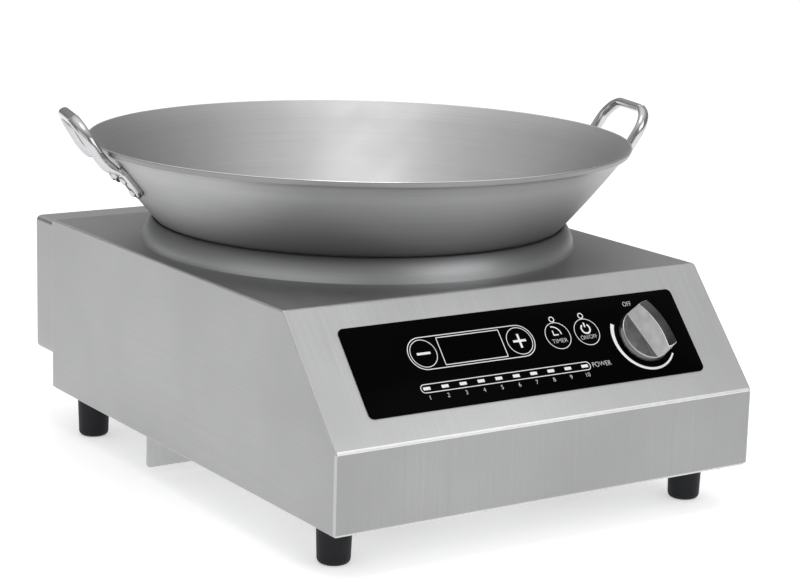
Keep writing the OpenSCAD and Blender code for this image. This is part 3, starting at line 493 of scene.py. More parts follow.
class HOB_OT_casing(bpy.types.Operator):
    """Brushed casing with rounded side edges, its rear hood and the sheets below"""

    bl_idname = "hob.casing"
    bl_label = "Casing"

    crisp = 32
    hood_round = 0.0012
    # Slot of the slope's lighter copy, which the hood's top takes as painted light
    hood_top = 2
    slots_in = 0.012
    slots_below = 0.051
    slots_reach = 0.04
    # Shares of a normal that tell the faces apart
    sideways, level = 0.99, 0.02
    hood_side, hood_tilt, hood_edge = 0.75, 0.3, 0.2

    def outer_edge(self, edge):
        on_side = all(abs(abs(v.co.x) - CASING_HIGH.x) < NEAR for v in edge.verts)
        on_floor = all(abs(v.co.z - LOW_Z) < NEAR for v in edge.verts)
        return on_side and not on_floor

    def hood_rim(self, edge):
        """Outer edges of the hood's back, without those of its slots"""
        flush = all(abs(v.co.y - HOOD_HIGH.y) < NEAR for v in edge.verts)
        outside = any(abs(n) > self.hood_edge for f in edge.link_faces for n in (f.normal.x, f.normal.z))
        slotted = all(
            abs(v.co.x) < HOOD_HIGH.x - self.slots_in
            and abs(v.co.z - HOOD_HIGH.z + self.slots_below) < self.slots_reach
            for v in edge.verts
        )
        return flush and outside and not slotted

    def finish(self, normal):
        """Which material a face of the casing has, by its normal: the slope takes a lighter copy of the sheet
        as painted light, the front a darker copy as painted shade, and the bends and the crease lighter
        colours as painted highlights
        """
        s = sizes()
        slope = Vector((0, s.front_height - CASING_HEIGHT, s.slope_run)).normalized()
        if abs(normal.x) > self.sideways:
            return SIDE
        # The slope gets a lighter copy of the sheet: painted light
        if normal.dot(slope) > FLAT:
            return SLOPED
        # The front gets a darker copy of the sheet: painted shade
        if normal.y < -FLAT:
            return FRONT
        # The crease between the front and the slope gets the lightest colour: a painted highlight
        if abs(normal.x) < self.level and normal.z > 0 and normal.y < slope.y:
            return CREASE
        return ALONG if max(abs(normal.y), abs(normal.z)) > FLAT else BENT

    def hood_finish_and_painted_light(self, normal):
        # Upward faces of the hood get the slope's lighter copy: painted light
        upright = self.hood_top if normal.z > self.hood_tilt else ALONG
        return SIDE if abs(normal.x) > self.hood_side else upright

    def sheet(self, name, bm, finish, *materials):
        for face in bm.faces:
            face.material_index = finish(face.normal)
        piece = new_piece(name, bm, "hob", "brushed_casing", *materials, crisp=self.crisp)
        weigh_normals(piece)
        return piece

    def execute(self, context):
        c = colours()
        along = brushed("brushed_casing", c.casing, (0.38, 0.54))
        # The front's darker copy is painted shade, and the slope's lighter copy is painted light
        front = brushed("brushed_front_painted_shade", shade(c.casing, 0.91), (0.38, 0.54))
        sloped = brushed("brushed_slope_painted_light", shade(c.casing, 1.36), (0.34, 0.50))
        side = brushed("brushed_casing_side", c.casing, (0.34, 0.46), (9, 9, 2600), (0, 1, 0), drawn=0.3)
        # The bent edges and the crease are lighter than the sheet: painted highlights
        bent = smooth_metal("bent_edge_painted_highlight", c.edge, (0.44, 0.54), tint=0.05)
        crease = smooth_metal("bent_crease_painted_highlight", shade(c.edge, 1.63), (0.44, 0.54), tint=0.05)
        bm = merged_copy("upper_casing")
        round_edges(bm, self.outer_edge, sizes().edge_round, 4)
        piece = self.sheet("casing", bm, self.finish, along, side, bent, sloped, front, crease)
        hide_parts("upper_casing")
        bm = merged_copy("rear_hood")
        round_edges(bm, self.hood_rim, self.hood_round, 3)
        piece = self.sheet("air_hood", bm, self.hood_finish_and_painted_light, along, side, sloped)
        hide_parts("rear_hood")
        # The base plate and the baffle get a lighter copy of the casing's colour: painted light
        tone = shade(c.casing, 1.5)
        sheet = brushed("plain_sheet", tone, (0.34, 0.46), (900, 60, 60), bump=0.05, drawn=0.45)
        dress(sheet, "base_plate", "air_baffle")
        return {"FINISHED"}


class HOB_OT_ring(bpy.types.Operator):
    """Polished ring, its seal and the glass bowl under the pan"""

    bl_idname = "hob.ring"
    bl_label = "Bowl and ring"

    gap = 0.00005
    lip_start = radians(0.6)
    swell_outside = 0.029
    swell_inside = 0.023
    foot_share = 1.1
    # Painted shade on the ring: its colour darkens from just above the casing up to its top
    painted_shade_above_top = 0.003
    painted_shade_share = 0.35

    def execute(self, context):
        s, c = sizes(), colours()
        top = CASING_HIGH.z
        lip = s.dish_radius + self.gap
        low_turn = bowl_angle() + self.lip_start
        lip_top = Vector(dish(lip, knee_angle()))
        rise = top + s.ring_height - lip_top.y
        peak = lip_top + Vector((rise / tan(knee_angle()), rise))
        foot = Vector((s.ring_radius, top))
        along = (peak - foot).normalized()
        out = Vector((along.y, -along.x))
        shoulder = (foot + peak) / 2 + out * s.ring_swell
        sheet = s.ring_sheet
        outline = [
            foot, shoulder, peak, lip_top, dish(lip, low_turn), dish(lip + sheet, low_turn),
            dish(lip + sheet, knee_angle()), shoulder - out * sheet,
            (s.ring_radius - sheet * self.foot_share, top),
        ]
        radii = [0, self.swell_outside, s.ring_round, 0, 0, 0, 0, self.swell_inside, 0]
        profile = rounded(outline, radii, 16)
        # Painted shade: the ring is darker towards its top, next to the gap under the pan
        painted_shade = (peak.y - s.ring_round, top + self.painted_shade_above_top, self.painted_shade_share)
        ring = new_piece(
            "bowl_ring_turned", turned(profile), "hob", "ring_steel",
            spun("ring_polish_painted_shade", c.ring, (0.40, 0.48), 0.03, 0.02, 0.2, painted_shade),
        )
        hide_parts("bowl_ring")
        profile = dish_arc(s.dish_radius, 0, bowl_angle())
        profile += dish_arc(s.dish_radius + s.bowl_wall, bowl_angle(), 0)
        bowl = new_piece(
            "bowl_glass", turned(profile), "hob", "black_glass",
            plain("bowl_black", c.glass, (0.06, 0.12), grain=300, bump=0.02),
        )
        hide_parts("glass_bowl")
        dress(plain("seal_rubber", (0.02, 0.02, 0.02), (0.5, 0.7)), "bowl_seal")
        return {"FINISHED"}


class HOB_OT_pan(bpy.types.Operator):
    """Spun pan with its turned rim"""

    bl_idname = "hob.pan"
    bl_label = "Pan"

    # Slots: the outside with painted shade, the rim bead with a painted dark reflection and the lip's top
    # with a painted highlight
    outside, rim, edge = 1, 2, 3
    # Shares of a normal that tell the faces apart
    downward, upward = -0.2, 0.5
    bead_round = 0.0035
    lip_round = 0.0007
    edge_height = 0.0006
    # Share of the outside's colour left at its bottom, as painted shade
    painted_shade_share = 0.42

    def execute(self, context):
        s, c = sizes(), colours()
        outer = s.dish_radius - s.pan_gap
        knee, top = knee_angle(), wall_top_angle()
        end = pan_wall(0, top)
        bend = end + Vector((s.flare_width, s.flare_height))
        high = end.y + s.lip_height
        corners = [end, bend, (s.pan_rim, high), (s.pan_rim - s.pan_wall, high), pan_wall(s.pan_wall, top)]
        lip = rounded(corners, [0, self.bead_round, self.lip_round, self.lip_round, 0], 8)
        profile = dish_arc(outer, 0, knee) + pan_wall_arc(0, knee, top) + lip
        profile += pan_wall_arc(s.pan_wall, top, knee) + dish_arc(outer - s.pan_wall, knee, 0)
        # Painted shade: the pan's outside darkens towards its bottom, above the ring
        painted_shade = (dish(outer, knee)[1], end.y, self.painted_shade_share)
        pan = new_piece(
            "pan_spun", turned(profile), "wok", "pan_steel",
            spun("pan_satin", c.pan, (0.40, 0.50), drawn=0.4),
            spun("pan_dull_painted_shade", c.pan_outside, (0.54, 0.64), painted_shade=painted_shade),
            # The rim bead gets a darker copy of the pan's colour: a painted dark reflection
            spun("pan_rim", shade(c.pan, 0.56), (0.34, 0.44)),
            # The lip's top edge gets a lighter copy of the pan's colour: a painted highlight
            smooth_metal("pan_edge_painted_highlight", shade(c.pan, 1.7), (0.14, 0.22)),
        )
        middle = Vector((*bowl_centre(), 0))
        for face in pan.data.polygons:
            normal, spot = face.normal, face.center
            if normal.z < self.downward and spot.z < end.y + s.flare_height / 2:
                face.material_index = self.outside
            elif normal.dot(spot - middle) > 0 and normal.z < self.upward and spot.z > end.y:
                face.material_index = self.rim
            # The thin top of the lip takes the painted highlight
            elif spot.z > high - self.edge_height:
                face.material_index = self.edge
        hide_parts("wok_pan")
        return {"FINISHED"}


def smooth_path(points, per_span=5):
    """Points of a curve through the given points"""
    out = []
    last = len(points) - 1
    for i in range(last):
        p0, p1 = points[max(i - 1, 0)], points[i]
        p2, p3 = points[i + 1], points[min(i + 2, last)]
        for k in range(per_span):
            t = k / per_span
            even, odd = 2 * p0 - 5 * p1 + 4 * p2 - p3, 3 * p1 - p0 - 3 * p2 + p3
            out.append(0.5 * (2 * p1 + (p2 - p0) * t + even * t * t + odd * t * t * t))
    out.append(points[-1].copy())
    return out


class HOB_OT_handles(bpy.types.Operator):
    """Loop handles of the pan, with flat riveted feet"""

    bl_idname = "hob.handles"
    bl_label = "Handles and rivets"

    crisp = 40
    gap = 0.00005
    tab_thick = 0.0044
    tab_size = 0.013
    tab_low = -0.0065
    tab_high = 0.0085
    tab_narrow = 0.4
    tab_below_rim = 0.28
    tab_levels = (
        (0.0, 0.955), (0.0004, 1.0), (0.0032, 1.0), (0.0038, 0.985), (0.0042, 0.955), (0.0044, 0.905)
    )
    rivets_along = (-0.0065, 0.0045)
    shank_radius = 0.002
    head_radius = 0.0035
    head_rim = 0.0004
    head_dome = 0.0016
    clear_of_rim = 0.0018
    below_rim = 0.0057
    jog = (0.005, 0.0055)
    neck_steps = 10
    neck_start = 0.0005
    neck_wide, neck_thick = 0.75, 0.9

    def tab_frame(self):
        """Middle of a handle's foot on the pan's wall, and the directions up the wall and out of it"""
        turn = wall_top_angle() - self.tab_below_rim * sizes().wall_bow
        up, out = Vector((cos(turn), sin(turn))), Vector((sin(turn), -cos(turn)))
        return pan_wall(0, turn), up, out

    def half_path(self):
        """Middle line of a handle from its foot to the middle of its loop"""
        s = sizes()
        middle, up, out = self.tab_frame()
        half = s.handle_width / 2
        foot = middle + up * (self.tab_high + self.neck_start) + out * (self.tab_thick / 2 + self.gap)
        low = Vector((sqrt(foot.x**2 - half**2), foot.y))
        past = sqrt(s.pan_rim**2 - (half - s.bar_in_plane / 2) ** 2)
        past += s.bar_across / 2 / sin(s.handle_lean) + self.clear_of_rim
        rise = Vector((cos(s.handle_lean), sin(s.handle_lean)))
        rim = Vector((past, pan_wall(0, wall_top_angle()).y + s.lip_height))
        start = rim - rise * (self.below_rim / rise.y)
        jog = start - Vector(self.jog)
        straight = s.handle_rise - s.handle_round
        flat = [low, (low + jog) / 2, jog, start, start + rise * straight * 0.5, start + rise * straight]
        path = [Vector((p.x, half, p.y)) for p in flat]
        for a in between(0, pi / 2, 8)[1:]:
            p = start + rise * (straight + s.handle_round * sin(a))
            path.append(Vector((p.x, half - s.handle_round * (1 - cos(a)), p.y)))
        return path

    def bar(self, bm):
        """Bar that grows from the width of its feet to its own"""
        s = sizes()
        half = self.half_path()
        path = smooth_path(half + [Vector((p.x, -p.y, p.z)) for p in reversed(half)])
        square = Vector((sin(s.handle_lean), 0, -cos(s.handle_lean)))
        last, rings = len(path) - 1, []
        for i, point in enumerate(path):
            along = (path[min(i + 1, last)] - path[max(i - 1, 0)]).normalized()
            wide = (square - along * square.dot(along)).normalized()
            side = along.cross(wide)
            grown = min(min(i, last - i) / self.neck_steps, 1)
            grown = grown * grown * (3 - 2 * grown)
            rx = (self.tab_size * self.neck_wide * (1 - grown) + s.bar_in_plane * grown) / 2
            ry = (self.tab_thick * self.neck_thick * (1 - grown) + s.bar_across * grown) / 2
            spots = [point + side * (rx * x) + wide * (ry * y) for x, y in circle_outline(0, 0, 1, 24)]
            rings.append([bm.verts.new(p) for p in spots])
        tube(bm, rings)

    def wall_matrix(self, turn, along):
        """Frame on the pan's outer wall: X along the rim, Y up the wall, Z out of it"""
        middle, up, out = self.tab_frame()
        p = middle + up * along
        axes = Matrix(((0, up.x, out.x, p.x), (1, 0, 0, 0), (0, up.y, out.y, p.y), (0, 0, 0, 1)))
        return about_bowl(turn) @ axes

    def tab(self, bm, matrix):
        """Flat foot: outline of two joined circles, with rounded rims"""
        outline = []
        lower = (self.tab_low, self.tab_size / 2, pi)
        upper = (self.tab_high, self.tab_size * self.tab_narrow, 0)
        for centre, radius, first in (lower, upper):
            for a in between(first, first + pi, 16):
                outline.append(Vector((radius * cos(a), centre + radius * sin(a))))
        middle = Vector((0, (self.tab_low + self.tab_high) / 2))
        rings = []
        for height, scale in self.tab_levels:
            spots = [middle + (p - middle) * scale for p in outline]
            rings.append([bm.verts.new(matrix @ Vector((*p, height + self.gap))) for p in spots])
        tube(bm, rings)

    def rivet(self, bm, matrix):
        """Shank that ends flush inside the pan, with a domed head outside"""
        low, seat = -sizes().pan_wall, self.tab_thick + 2 * self.gap
        shank = self.shank_radius
        profile = [(0, low), (shank, low), (shank, seat), (self.head_radius, seat)]
        for a in between(0, pi / 2, 6)[:-1]:
            height = seat + self.head_rim + self.head_dome * sin(a)
            profile.append((self.head_radius * cos(a), height))
        profile.append((0, seat + self.head_rim + self.head_dome))
        revolve(bm, profile, 24, matrix)

    def execute(self, context):
        s, c = sizes(), colours()
        chrome = plain("handle_polish", c.handle, (0.10, 0.20), 1.0, 260, 0.05, 0.03)
        spread = asin(s.handle_width / 2 / self.tab_frame()[0].x)
        rivets = bmesh.new()
        for side, turn in (("right", s.handle_turn), ("left", s.handle_turn + pi)):
            bm = bmesh.new()
            self.bar(bm)
            move(bm, about_bowl(turn))
            for foot in (turn - spread, turn + spread):
                self.tab(bm, self.wall_matrix(foot, 0))
                for along in self.rivets_along:
                    self.rivet(rivets, self.wall_matrix(foot, along))
            handle = new_piece("pan_handle_" + side, bm, "wok", "handle_chrome", chrome, crisp=self.crisp)
            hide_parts("wok_handle_" + side)
        piece = new_piece("pan_rivets", rivets, "wok", "pan_steel", chrome, crisp=self.crisp)
        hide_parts("wok_rivets")
        return {"FINISHED"}


def box_outline(x, y, w, h, radius=0.0, steps=8):
    signs = ((-1, -1), (1, -1), (1, 1), (-1, 1))
    corners = [(x + i * w / 2, y + j * h / 2) for i, j in signs]
    radius = min(radius, w / 2 - 0.001, h / 2 - 0.001)
    return rounded(corners, [radius] * 4, steps) if radius > 0.001 else corners


class Print:
    """Thin white marks on the control face, drawn in millimetres and gathered in one mesh"""

    thinner = -0.018

    def __init__(self):
        self.bm = bmesh.new()
        self.height = sizes().print_height

    def corners(self, outline, height):
        return [self.bm.verts.new((x * MM, y * MM, height)) for x, y in outline]

    def slab(self, outer, inner=None):
        """Flat mark from an outline, or a band between two outlines of the same count"""
        low, high = self.corners(outer, 0), self.corners(outer, self.height)
        band(self.bm, low, high)
        if inner is None:
            self.bm.faces.new(high)
        else:
            low_in, high_in = self.corners(inner, 0), self.corners(inner, self.height)
            band(self.bm, high, high_in)
            band(self.bm, high_in, low_in)

    def box(self, x, y, w, h, radius=0.0, line=None):
        inner = None
        if line is not None:
            inner = box_outline(x, y, w - 2 * line, h - 2 * line, max(radius - line, 0.02))
        self.slab(box_outline(x, y, w, h, radius), inner)

    def circle(self, x, y, diameter, line):
        self.slab(circle_outline(x, y, diameter / 2), circle_outline(x, y, diameter / 2 - line))

    def arc(self, x, y, radius, first, last, first_w, last_w, steps=48):
        outer, inner = [], []
        for degrees, w in zip(between(first, last, steps), between(first_w / 2, last_w / 2, steps)):
            across, up = cos(radians(degrees)), sin(radians(degrees))
            outer.append((x + (radius + w) * across, y + (radius + w) * up))
            inner.append((x + (radius - w) * across, y + (radius - w) * up))
        self.slab(outer + inner[::-1])

    def text(self, words, x, y, cap, width=None):
        """Letters centred on a point, cap tall and, where given, width wide"""
        curve = bpy.data.curves.new("letters", "FONT")
        curve.body = words
        curve.offset = self.thinner
        letters = bpy.data.objects.new("letters", curve)
        bpy.context.scene.collection.objects.link(letters)
        depsgraph = bpy.context.evaluated_depsgraph_get()
        mesh = bpy.data.meshes.new_from_object(letters.evaluated_get(depsgraph))
        bpy.data.objects.remove(letters)
        bpy.data.curves.remove(curve)
        xs, ys = ([v.co[i] for v in mesh.vertices] for i in (0, 1))
        scale_y = cap / (max(ys) - min(ys))
        scale_x = scale_y if width is None else width / (max(xs) - min(xs))
        middle_x, middle_y = (min(xs) + max(xs)) / 2, (min(ys) + max(ys)) / 2
        for v in mesh.vertices:
            across, up = x + (v.co.x - middle_x) * scale_x, y + (v.co.y - middle_y) * scale_y
            v.co = (across * MM, up * MM, self.height)
        self.bm.from_mesh(mesh)
        bpy.data.meshes.remove(mesh)


KEY_PLACES = {"minus_key": -80.7, "plus_key": -4.0, "timer_key": 28.0, "power_key": 52.5}


class HOB_OT_panel(bpy.types.Operator):
    """Black control panel with its print, window and keys"""

    bl_idname = "hob.panel"
    bl_label = "Control panel"

    rim_round = 0.0003
    rim_within = 0.006

    def marks(self):
        s = sizes()
        ink = Print()
        keys, lights = s.key_row / MM, -17
        ink.box(-42.35, keys, 100.75, 24, 12, 0.6)
        ink.box(-42.4, keys, 50.2, 20.6, 0.6, 0.6)
        ink.box(-24.6, lights, 137.2, 6.5, 3.25, 0.55)
        for i in range(10):
            across = -88.4 + 14.16 * i
            ink.box(across, lights, 5.5, 2.2, 0.4)
            ink.text(str(i + 1), across, -23.5, 3.0)
        ink.text("POWER", 53.6, lights, 3.6, 15.7)
        ink.text("OFF", 95, 24.7, 3.4, 7.2)
        for name, across in KEY_PLACES.items():
            ink.circle(across, keys, 20.4, 0.5)
            if name in ("timer_key", "power_key"):
                ink.circle(across, 20.2, 4.5, 0.75)
        ink.arc(s.knob_across / MM, s.knob_up / MM, 24.3, 149, 322, 2.9, 1.3)
        return ink.bm

    def key_marks(self, name):
        ink = Print()
        if name in ("minus_key", "plus_key"):
            ink.box(0, 0, 10.5, 1.7)
        if name == "plus_key":
            ink.box(0, 3.05, 1.7, 4.4)
            ink.box(0, -3.05, 1.7, 4.4)
        if name == "timer_key":
            ink.text("TIMER", 0, -3.9, 3.0, 12.6)
            ink.box(-3.0, 2.3, 0.9, 4.0)
            ink.box(-0.8, 0.75, 3.5, 0.9)
            ink.arc(-3.0, 0.8, 6.3, 0, 94, 0.9, 0.9)
        if name == "power_key":
            ink.text("ON/OFF", 0, -3.9, 3.0, 13.4)
            ink.arc(0, 2.5, 3.5, 125, 415, 1.2, 1.2)
            ink.box(0, 5.4, 1.2, 3.6)
        return ink.bm

    def execute(self, context):
        s, c = sizes(), colours()
        film = plain("panel_film", c.panel, (0.22, 0.28), grain=700, bump=0.01, gloss=0.014)
        white = plain("panel_print", c.marks, (0.35, 0.5), grain=1500, tint=0.05, bump=0.02)
        bm = merged_copy("control_overlay")
        to_face = face_matrix().inverted()
        wide, tall = s.overlay_width / 2 - self.rim_within, s.overlay_height / 2 - self.rim_within

        def rim(edge):
            spots = [to_face @ v.co for v in edge.verts]
            high = all(abs(p.z - s.overlay_depth) < NEAR for p in spots)
            return high and all(abs(p.x) > wide or abs(p.y) > tall for p in spots)

        round_edges(bm, rim, self.rim_round, 2)
        overlay = new_piece("panel_overlay", bm, "hob", "panel_black", film, crisp=30)
        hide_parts("control_overlay")
        window = plain("window_dark", c.window, (0.2, 0.3), grain=500, bump=0.01, gloss=0.01)
        dress(window, "display_window")
        dress(film, *KEY_PLACES)
        marks = self.marks()
        move(marks, face_matrix(0, 0, s.overlay_depth))
        new_piece("panel_marks", marks, "hob", "panel_black", white, crisp=None)
        for name, across in KEY_PLACES.items():
            marks = self.key_marks(name)
            move(marks, face_matrix(across * MM, s.key_row, s.overlay_depth))
            new_piece(name.replace("_key", "_mark"), marks, name, "panel_black", white, crisp=None)
        return {"FINISHED"}


FLANK, FACE, RIM, DECK, EDGE = range(5)


class HOB_OT_knob(bpy.types.Operator):
    """Turn knob: round skirt with a bar grip"""

    bl_idname = "hob.knob"
    bl_label = "Knob"

    flank_steps = 24
    gap = 0.0006
    skirt_height = 0.005
    skirt_draft = 0.0006
    skirt_rounds = (0, 0.0003, 0.0008, 0)
    hollow_radius = 0.0076
    shaft_radius = 0.0031
    deck_thick = 0.0012
    bar_within = 0.0007
    bar_draft = 0.0005
    bar_round = 0.0008
    bar_sunk = 0.0006
    scoop_from = 0.003
    scoop_low = 0.0009
    scoop_high = 0.0004

    def loft(self, bm, levels):
        """Closed skin over the levels, with the material given for the band under each"""
        rings = [[bm.verts.new(p) for p in level] for level, _ in levels]
        bm.faces.new(list(reversed(rings[0])))
        for first, second, (_, material) in zip(rings, rings[1:], levels[1:]):
            band(bm, first, second, material)
        top, half, flank = rings[-1], len(rings[-1]) // 2, self.flank_steps
        back = half + flank
        strips = [(top[k], top[k + 1], top[back - k - 1], top[back - k]) for k in range(flank)]
        for corners in strips + [top[flank:half + 1], top[back:] + top[:1]]:
            bm.faces.new(corners).material_index = FACE

    def bar_level(self, inset, scoop, height):
        """Outline of the bar, with scooped flanks whose ends lie on the skirt's circle.
        The height is a function of the place along the bar"""
        s = sizes()
        half, reach = s.knob_bar / 2 - inset, s.knob_size / 2 - self.bar_within - inset
        end = sqrt(reach**2 - half**2)
        flank = [(half - scoop * (1 - t**2), end * t) for t in between(-1, 1, self.flank_steps)]
        bow = [(x, sqrt(reach**2 - x**2)) for x in between(half, -half, 6)[1:-1]]
        outline = flank + bow
        outline += [(-x, -y) for x, y in outline]
        return [(x, y, height(y)) for x, y in outline]

    def skirt(self, bm, low, top):
        r = sizes().knob_size / 2
        corners = [(0, low), (r, low), (r - self.skirt_draft, top), (0, top)]
        wall = rounded(corners, self.skirt_rounds, 6)[1:-1]
        under = top - self.deck_thick
        bore = [(self.shaft_radius, top), (self.shaft_radius, under), (self.hollow_radius, under)]
        revolve(bm, [(self.hollow_radius, low)] + wall + bore, 128, Matrix())
        bm.normal_update()
        for face in bm.faces:
            # Level faces of the skirt take the deck's lighter copy and its walls the rim's darker copy:
            # painted light and painted shade
            face.material_index = DECK if abs(face.normal.z) > 0.95 else RIM

    def grip(self, bm, top):
        s = sizes()
        crown = ((s.knob_size / 2) ** 2 + s.knob_crown**2) / (2 * s.knob_crown)

        def under_crown(drop):
            return lambda y: s.knob_height - crown + sqrt(crown**2 - y**2) - drop

        levels = [
            (self.bar_level(0, 0, lambda y: top - self.bar_sunk), FLANK),
            (self.bar_level(0, self.scoop_low, lambda y: top + self.scoop_from), FLANK),
            (self.bar_level(self.bar_draft, self.scoop_high, under_crown(self.bar_round)), FLANK),
        ]
        for i, a in enumerate(between(0, pi / 2, 5)[1:]):
            inset = self.bar_draft + self.bar_round * (1 - cos(a))
            height = under_crown(self.bar_round * (1 - sin(a)))
            levels.append((self.bar_level(inset, self.scoop_high, height), EDGE if i < 3 else FACE))
        self.loft(bm, levels)

    def execute(self, context):
        s, c = sizes(), colours()
        low = s.overlay_depth + self.gap
        top = low + self.skirt_height
        bm = bmesh.new()
        self.skirt(bm, low, top)
        self.grip(bm, top)
        place = face_matrix(s.knob_across, s.knob_up) @ Matrix.Rotation(s.knob_rest, 4, "Z")
        move(bm, place)
        knob = new_piece(
            "turn_knob", bm, "knob", "knob_silver",
            plain("knob_flank", c.knob, (0.30, 0.40), 0.0, 110, 0.34, 0.01),
            # The bar's top takes a darker copy of the face colour and the deck a lighter one: painted shade
            # and painted light
            smooth_metal("knob_face", shade(c.knob_face, 0.72), (0.24, 0.32), 90, 0.30),
            # The skirt's rim gets a darker copy of the knob's colour: painted shade that dims its reflection
            smooth_metal("knob_rim", shade(c.knob, 0.5), (0.26, 0.36)),
            smooth_metal("knob_deck_painted_light", shade(c.knob_face, 2.0), (0.24, 0.32), 130, 0.18),
            smooth_metal("knob_edge", c.knob, (0.16, 0.24)),
        )
        weigh_normals(knob)
        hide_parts("control_knob")
        return {"FINISHED"}


class HOB_OT_feet(bpy.types.Operator):
    """Rubber feet, fasteners and the cable bushing"""

    bl_idname = "hob.feet"
    bl_label = "Feet and fasteners"

    def execute(self, context):
        tone = colours().rubber
        dress(
            plain("foot_rubber", tone, (0.5, 0.65), grain=1400, tint=0.25, bump=0.15, gloss=0.28),
            "foot_front_left", "foot_front_right", "foot_rear_left", "foot_rear_right", "cable_bushing",
        )
        dress(
            plain("screw_steel", (0.55, 0.55, 0.56), (0.25, 0.4), 1.0, 900, 0.08),
            "foot_screws", "base_screws", "hood_screws", "baffle_screws", "board_screws", "carrier_screws",
            "power_screws", "fan_screws", "pot_shaft",
        )
        return {"FINISHED"}


class HOB_OT_inside(bpy.types.Operator):
    """Finishes of the coil, boards and fans inside the casing"""

    bl_idname = "hob.inside"
    bl_label = "Inside"

    def execute(self, context):
        fibre = plain("pad_fibre", (0.70, 0.66, 0.52), (0.8, 0.95), grain=500, tint=0.2, bump=0.4)
        dress(fibre, "insulation_pad")
        copper = plain("coil_copper", (0.55, 0.23, 0.09), (0.3, 0.45), 1.0, 600)
        dress(copper, "coil_winding", "filter_choke")
        dress(plain("carrier_plastic", (0.72, 0.72, 0.68), (0.45, 0.6)), "coil_carrier", "terminal_block")
        dress(plain("ferrite", (0.05, 0.05, 0.052), (0.5, 0.7)), "ferrite_bars")
        aluminium = plain("post_aluminium", (0.62, 0.62, 0.64), (0.3, 0.42), 1.0)
        dress(aluminium, "carrier_posts", "heat_sink", "temperature_sensor")
        dress(plain("light_clear", (0.7, 0.7, 0.7), (0.15, 0.25)), "level_lights", "mode_lights")
        dress(
            plain("dark_plastic", (0.02, 0.02, 0.021), (0.4, 0.55)),
            "display_module", "push_switches", "power_transistors", "fan_frame_left", "fan_frame_right",
            "fan_rotor_left", "fan_rotor_right",
        )
        dress(plain("board_green", (0.02, 0.09, 0.035), (0.35, 0.5)), "control_board", "power_board")
        brass = plain("spacer_brass", (0.60, 0.46, 0.20), (0.25, 0.4), 1.0)
        dress(brass, "board_spacers", "power_spacers", "pot_nut", "potentiometer")
        dress(plain("capacitor_yellow", (0.52, 0.32, 0.03), (0.25, 0.4)), "filter_capacitors")
        return {"FINISHED"}


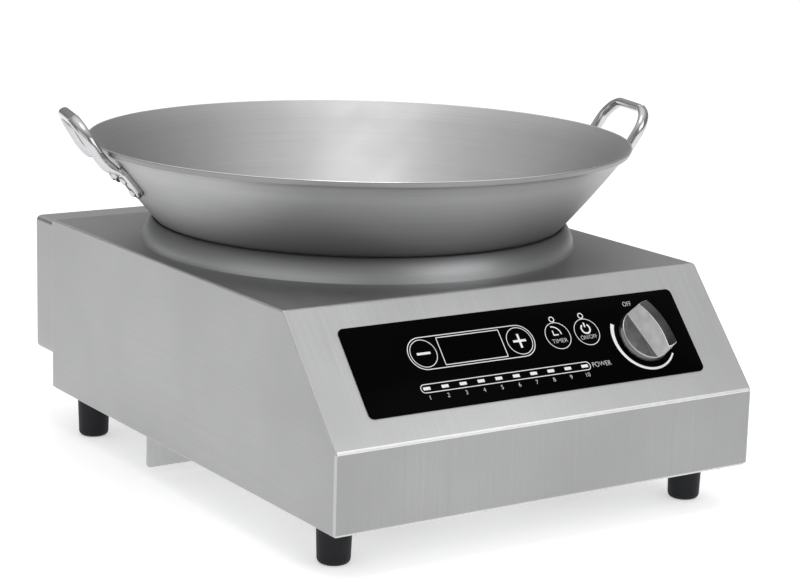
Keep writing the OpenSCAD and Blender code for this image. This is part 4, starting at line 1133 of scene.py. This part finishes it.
class HOB_OT_stage(bpy.types.Operator):
    """Pale floor, soft lights and the camera"""

    bl_idname = "hob.stage"
    bl_label = "Stage"

    lean = radians(8)
    horizon = 0.22
    strength = 1.15
    glow = 0.45
    floor_reach = 30
    levels = ((0.26, horizon), (0.50, 0.34), (0.66, 0.52), (0.78, 0.74))
    lens, sensor = 102.12, 36
    camera_place = (-0.88127, FRONT_Y - 1.13795, LOW_Z + 0.45193)
    camera_right = (0.83606, -0.54796, 0.02706)
    camera_down = (-0.09591, -0.19455, -0.97619)

    def seen(self, surface):
        """1 for rays from the camera, from gloss and through glass"""
        path = surface.add("ShaderNodeLightPath").outputs
        value = path["Is Camera Ray"]
        for ray in ("Is Glossy Ray", "Is Transmission Ray"):
            node = surface.add("ShaderNodeMath", {0: value, 1: path[ray]}, operation="MAXIMUM")
            value = node.outputs["Value"]
        return value

    def floor(self):
        surface = Surface("floor_white")
        surface.set(Roughness=0.9, Emission_Color=(1, 1, 1, 1))
        grain = surface.spread(surface.noise(60.0), 0, 1)
        surface.drive("Base Color", surface.mix(grain, (0.90, 0.90, 0.90), (0.93, 0.93, 0.93)))
        surface.drive("Emission Strength", surface.spread(self.seen(surface), 0, self.glow, 0, 1))
        bm = bmesh.new()
        bmesh.ops.create_grid(bm, x_segments=1, y_segments=1, size=self.floor_reach)
        floor = bpy.data.objects.new("floor", mesh_of("floor", bm))
        floor.data.materials.append(surface.data)
        bpy.context.scene.collection.objects.link(floor)

    def world(self):
        """Studio round the stage: bright overhead and a little to the back, dark towards the horizon"""
        world = Surface("studio", "worlds", "Background")
        bpy.context.scene.world = world.data
        place = world.add("ShaderNodeTexCoord").outputs["Generated"]
        up = (0, sin(self.lean), cos(self.lean))
        rise = world.add("ShaderNodeVectorMath", {0: place, 1: up}, operation="DOT_PRODUCT")
        ramp = world.add("ShaderNodeValToRGB", {"Fac": rise.outputs["Value"]})
        stops = ramp.color_ramp.elements
        for height, level in self.levels:
            stops.new(height).color = (level, level, level, 1)
        stops[0].color = (self.horizon, self.horizon, self.horizon, 1)
        stops[-1].color = (1, 1, 1, 1)
        world.drive("Color", ramp.outputs["Color"])
        world.set(Strength=self.strength)

    def lamp(self, name, place, target, size, power):
        light = bpy.data.lights.new(name, "AREA")
        light.shape = "RECTANGLE"
        light.size, light.size_y = size
        light.energy = power
        lamp = bpy.data.objects.new(name, light)
        lamp.location = place
        lamp.rotation_euler = (Vector(target) - Vector(place)).to_track_quat("-Z", "Y").to_euler()
        bpy.context.scene.collection.objects.link(lamp)

    def execute(self, context):
        self.floor()
        self.world()
        self.lamp("slope_light", (0.35, -1.05, 0.75), (-0.05, -0.3, 0.05), (0.9, 0.6), 2.8)
        self.lamp("overhead", (-0.2, -0.25, 2.1), (0, 0, 0.2), (0.8, 0.8), 6)
        self.lamp("left_card", (-2.2, -0.9, 0.65), (0, 0, 0.15), (3.2, 1.2), 7)
        camera = bpy.data.cameras.new("camera")
        camera.sensor_width = self.sensor
        camera.sensor_fit = "HORIZONTAL"
        camera.lens = self.lens
        holder = bpy.data.objects.new("camera", camera)
        right, down = Vector(self.camera_right), Vector(self.camera_down)
        turn = Matrix((right, -down, -right.cross(down))).transposed().to_4x4()
        holder.matrix_world = Matrix.Translation(self.camera_place) @ turn
        context.scene.collection.objects.link(holder)
        context.scene.camera = holder
        context.scene.view_settings.view_transform = "Standard"
        return {"FINISHED"}


class HOB_PT_pieces(bpy.types.Panel):
    """Lists the hob's pieces, sizes and colours"""

    bl_idname = "HOB_PT_pieces"
    bl_label = "Induction Wok Hob"
    bl_space_type = "VIEW_3D"
    bl_region_type = "UI"
    bl_category = "Hob"

    def draw(self, context):
        for operator in OPERATORS:
            self.layout.operator(operator.bl_idname)
        for group in (context.scene.hob_sizes, context.scene.hob_colours):
            column = self.layout.column()
            for key in group.bl_rna.properties.keys():
                if key not in ("rna_type", "name"):
                    column.prop(group, key)


OPERATORS = (
    HOB_OT_casing, HOB_OT_ring, HOB_OT_pan, HOB_OT_handles, HOB_OT_panel, HOB_OT_knob, HOB_OT_feet,
    HOB_OT_inside, HOB_OT_stage,
)
CLASSES = (HobSizes, HobColours, *OPERATORS, HOB_PT_pieces)


def register():
    for cls in CLASSES:
        bpy.utils.register_class(cls)
    bpy.types.Scene.hob_sizes = PointerProperty(type=HobSizes)
    bpy.types.Scene.hob_colours = PointerProperty(type=HobColours)


def unregister():
    del bpy.types.Scene.hob_colours
    del bpy.types.Scene.hob_sizes
    for cls in reversed(CLASSES):
        bpy.utils.unregister_class(cls)


def main():
    register()
    bpy.ops.hob.casing()
    bpy.ops.hob.ring()
    bpy.ops.hob.pan()
    bpy.ops.hob.handles()
    bpy.ops.hob.panel()
    bpy.ops.hob.knob()
    bpy.ops.hob.feet()
    bpy.ops.hob.inside()
    bpy.ops.hob.stage()


if __name__ == "__main__":
    main()
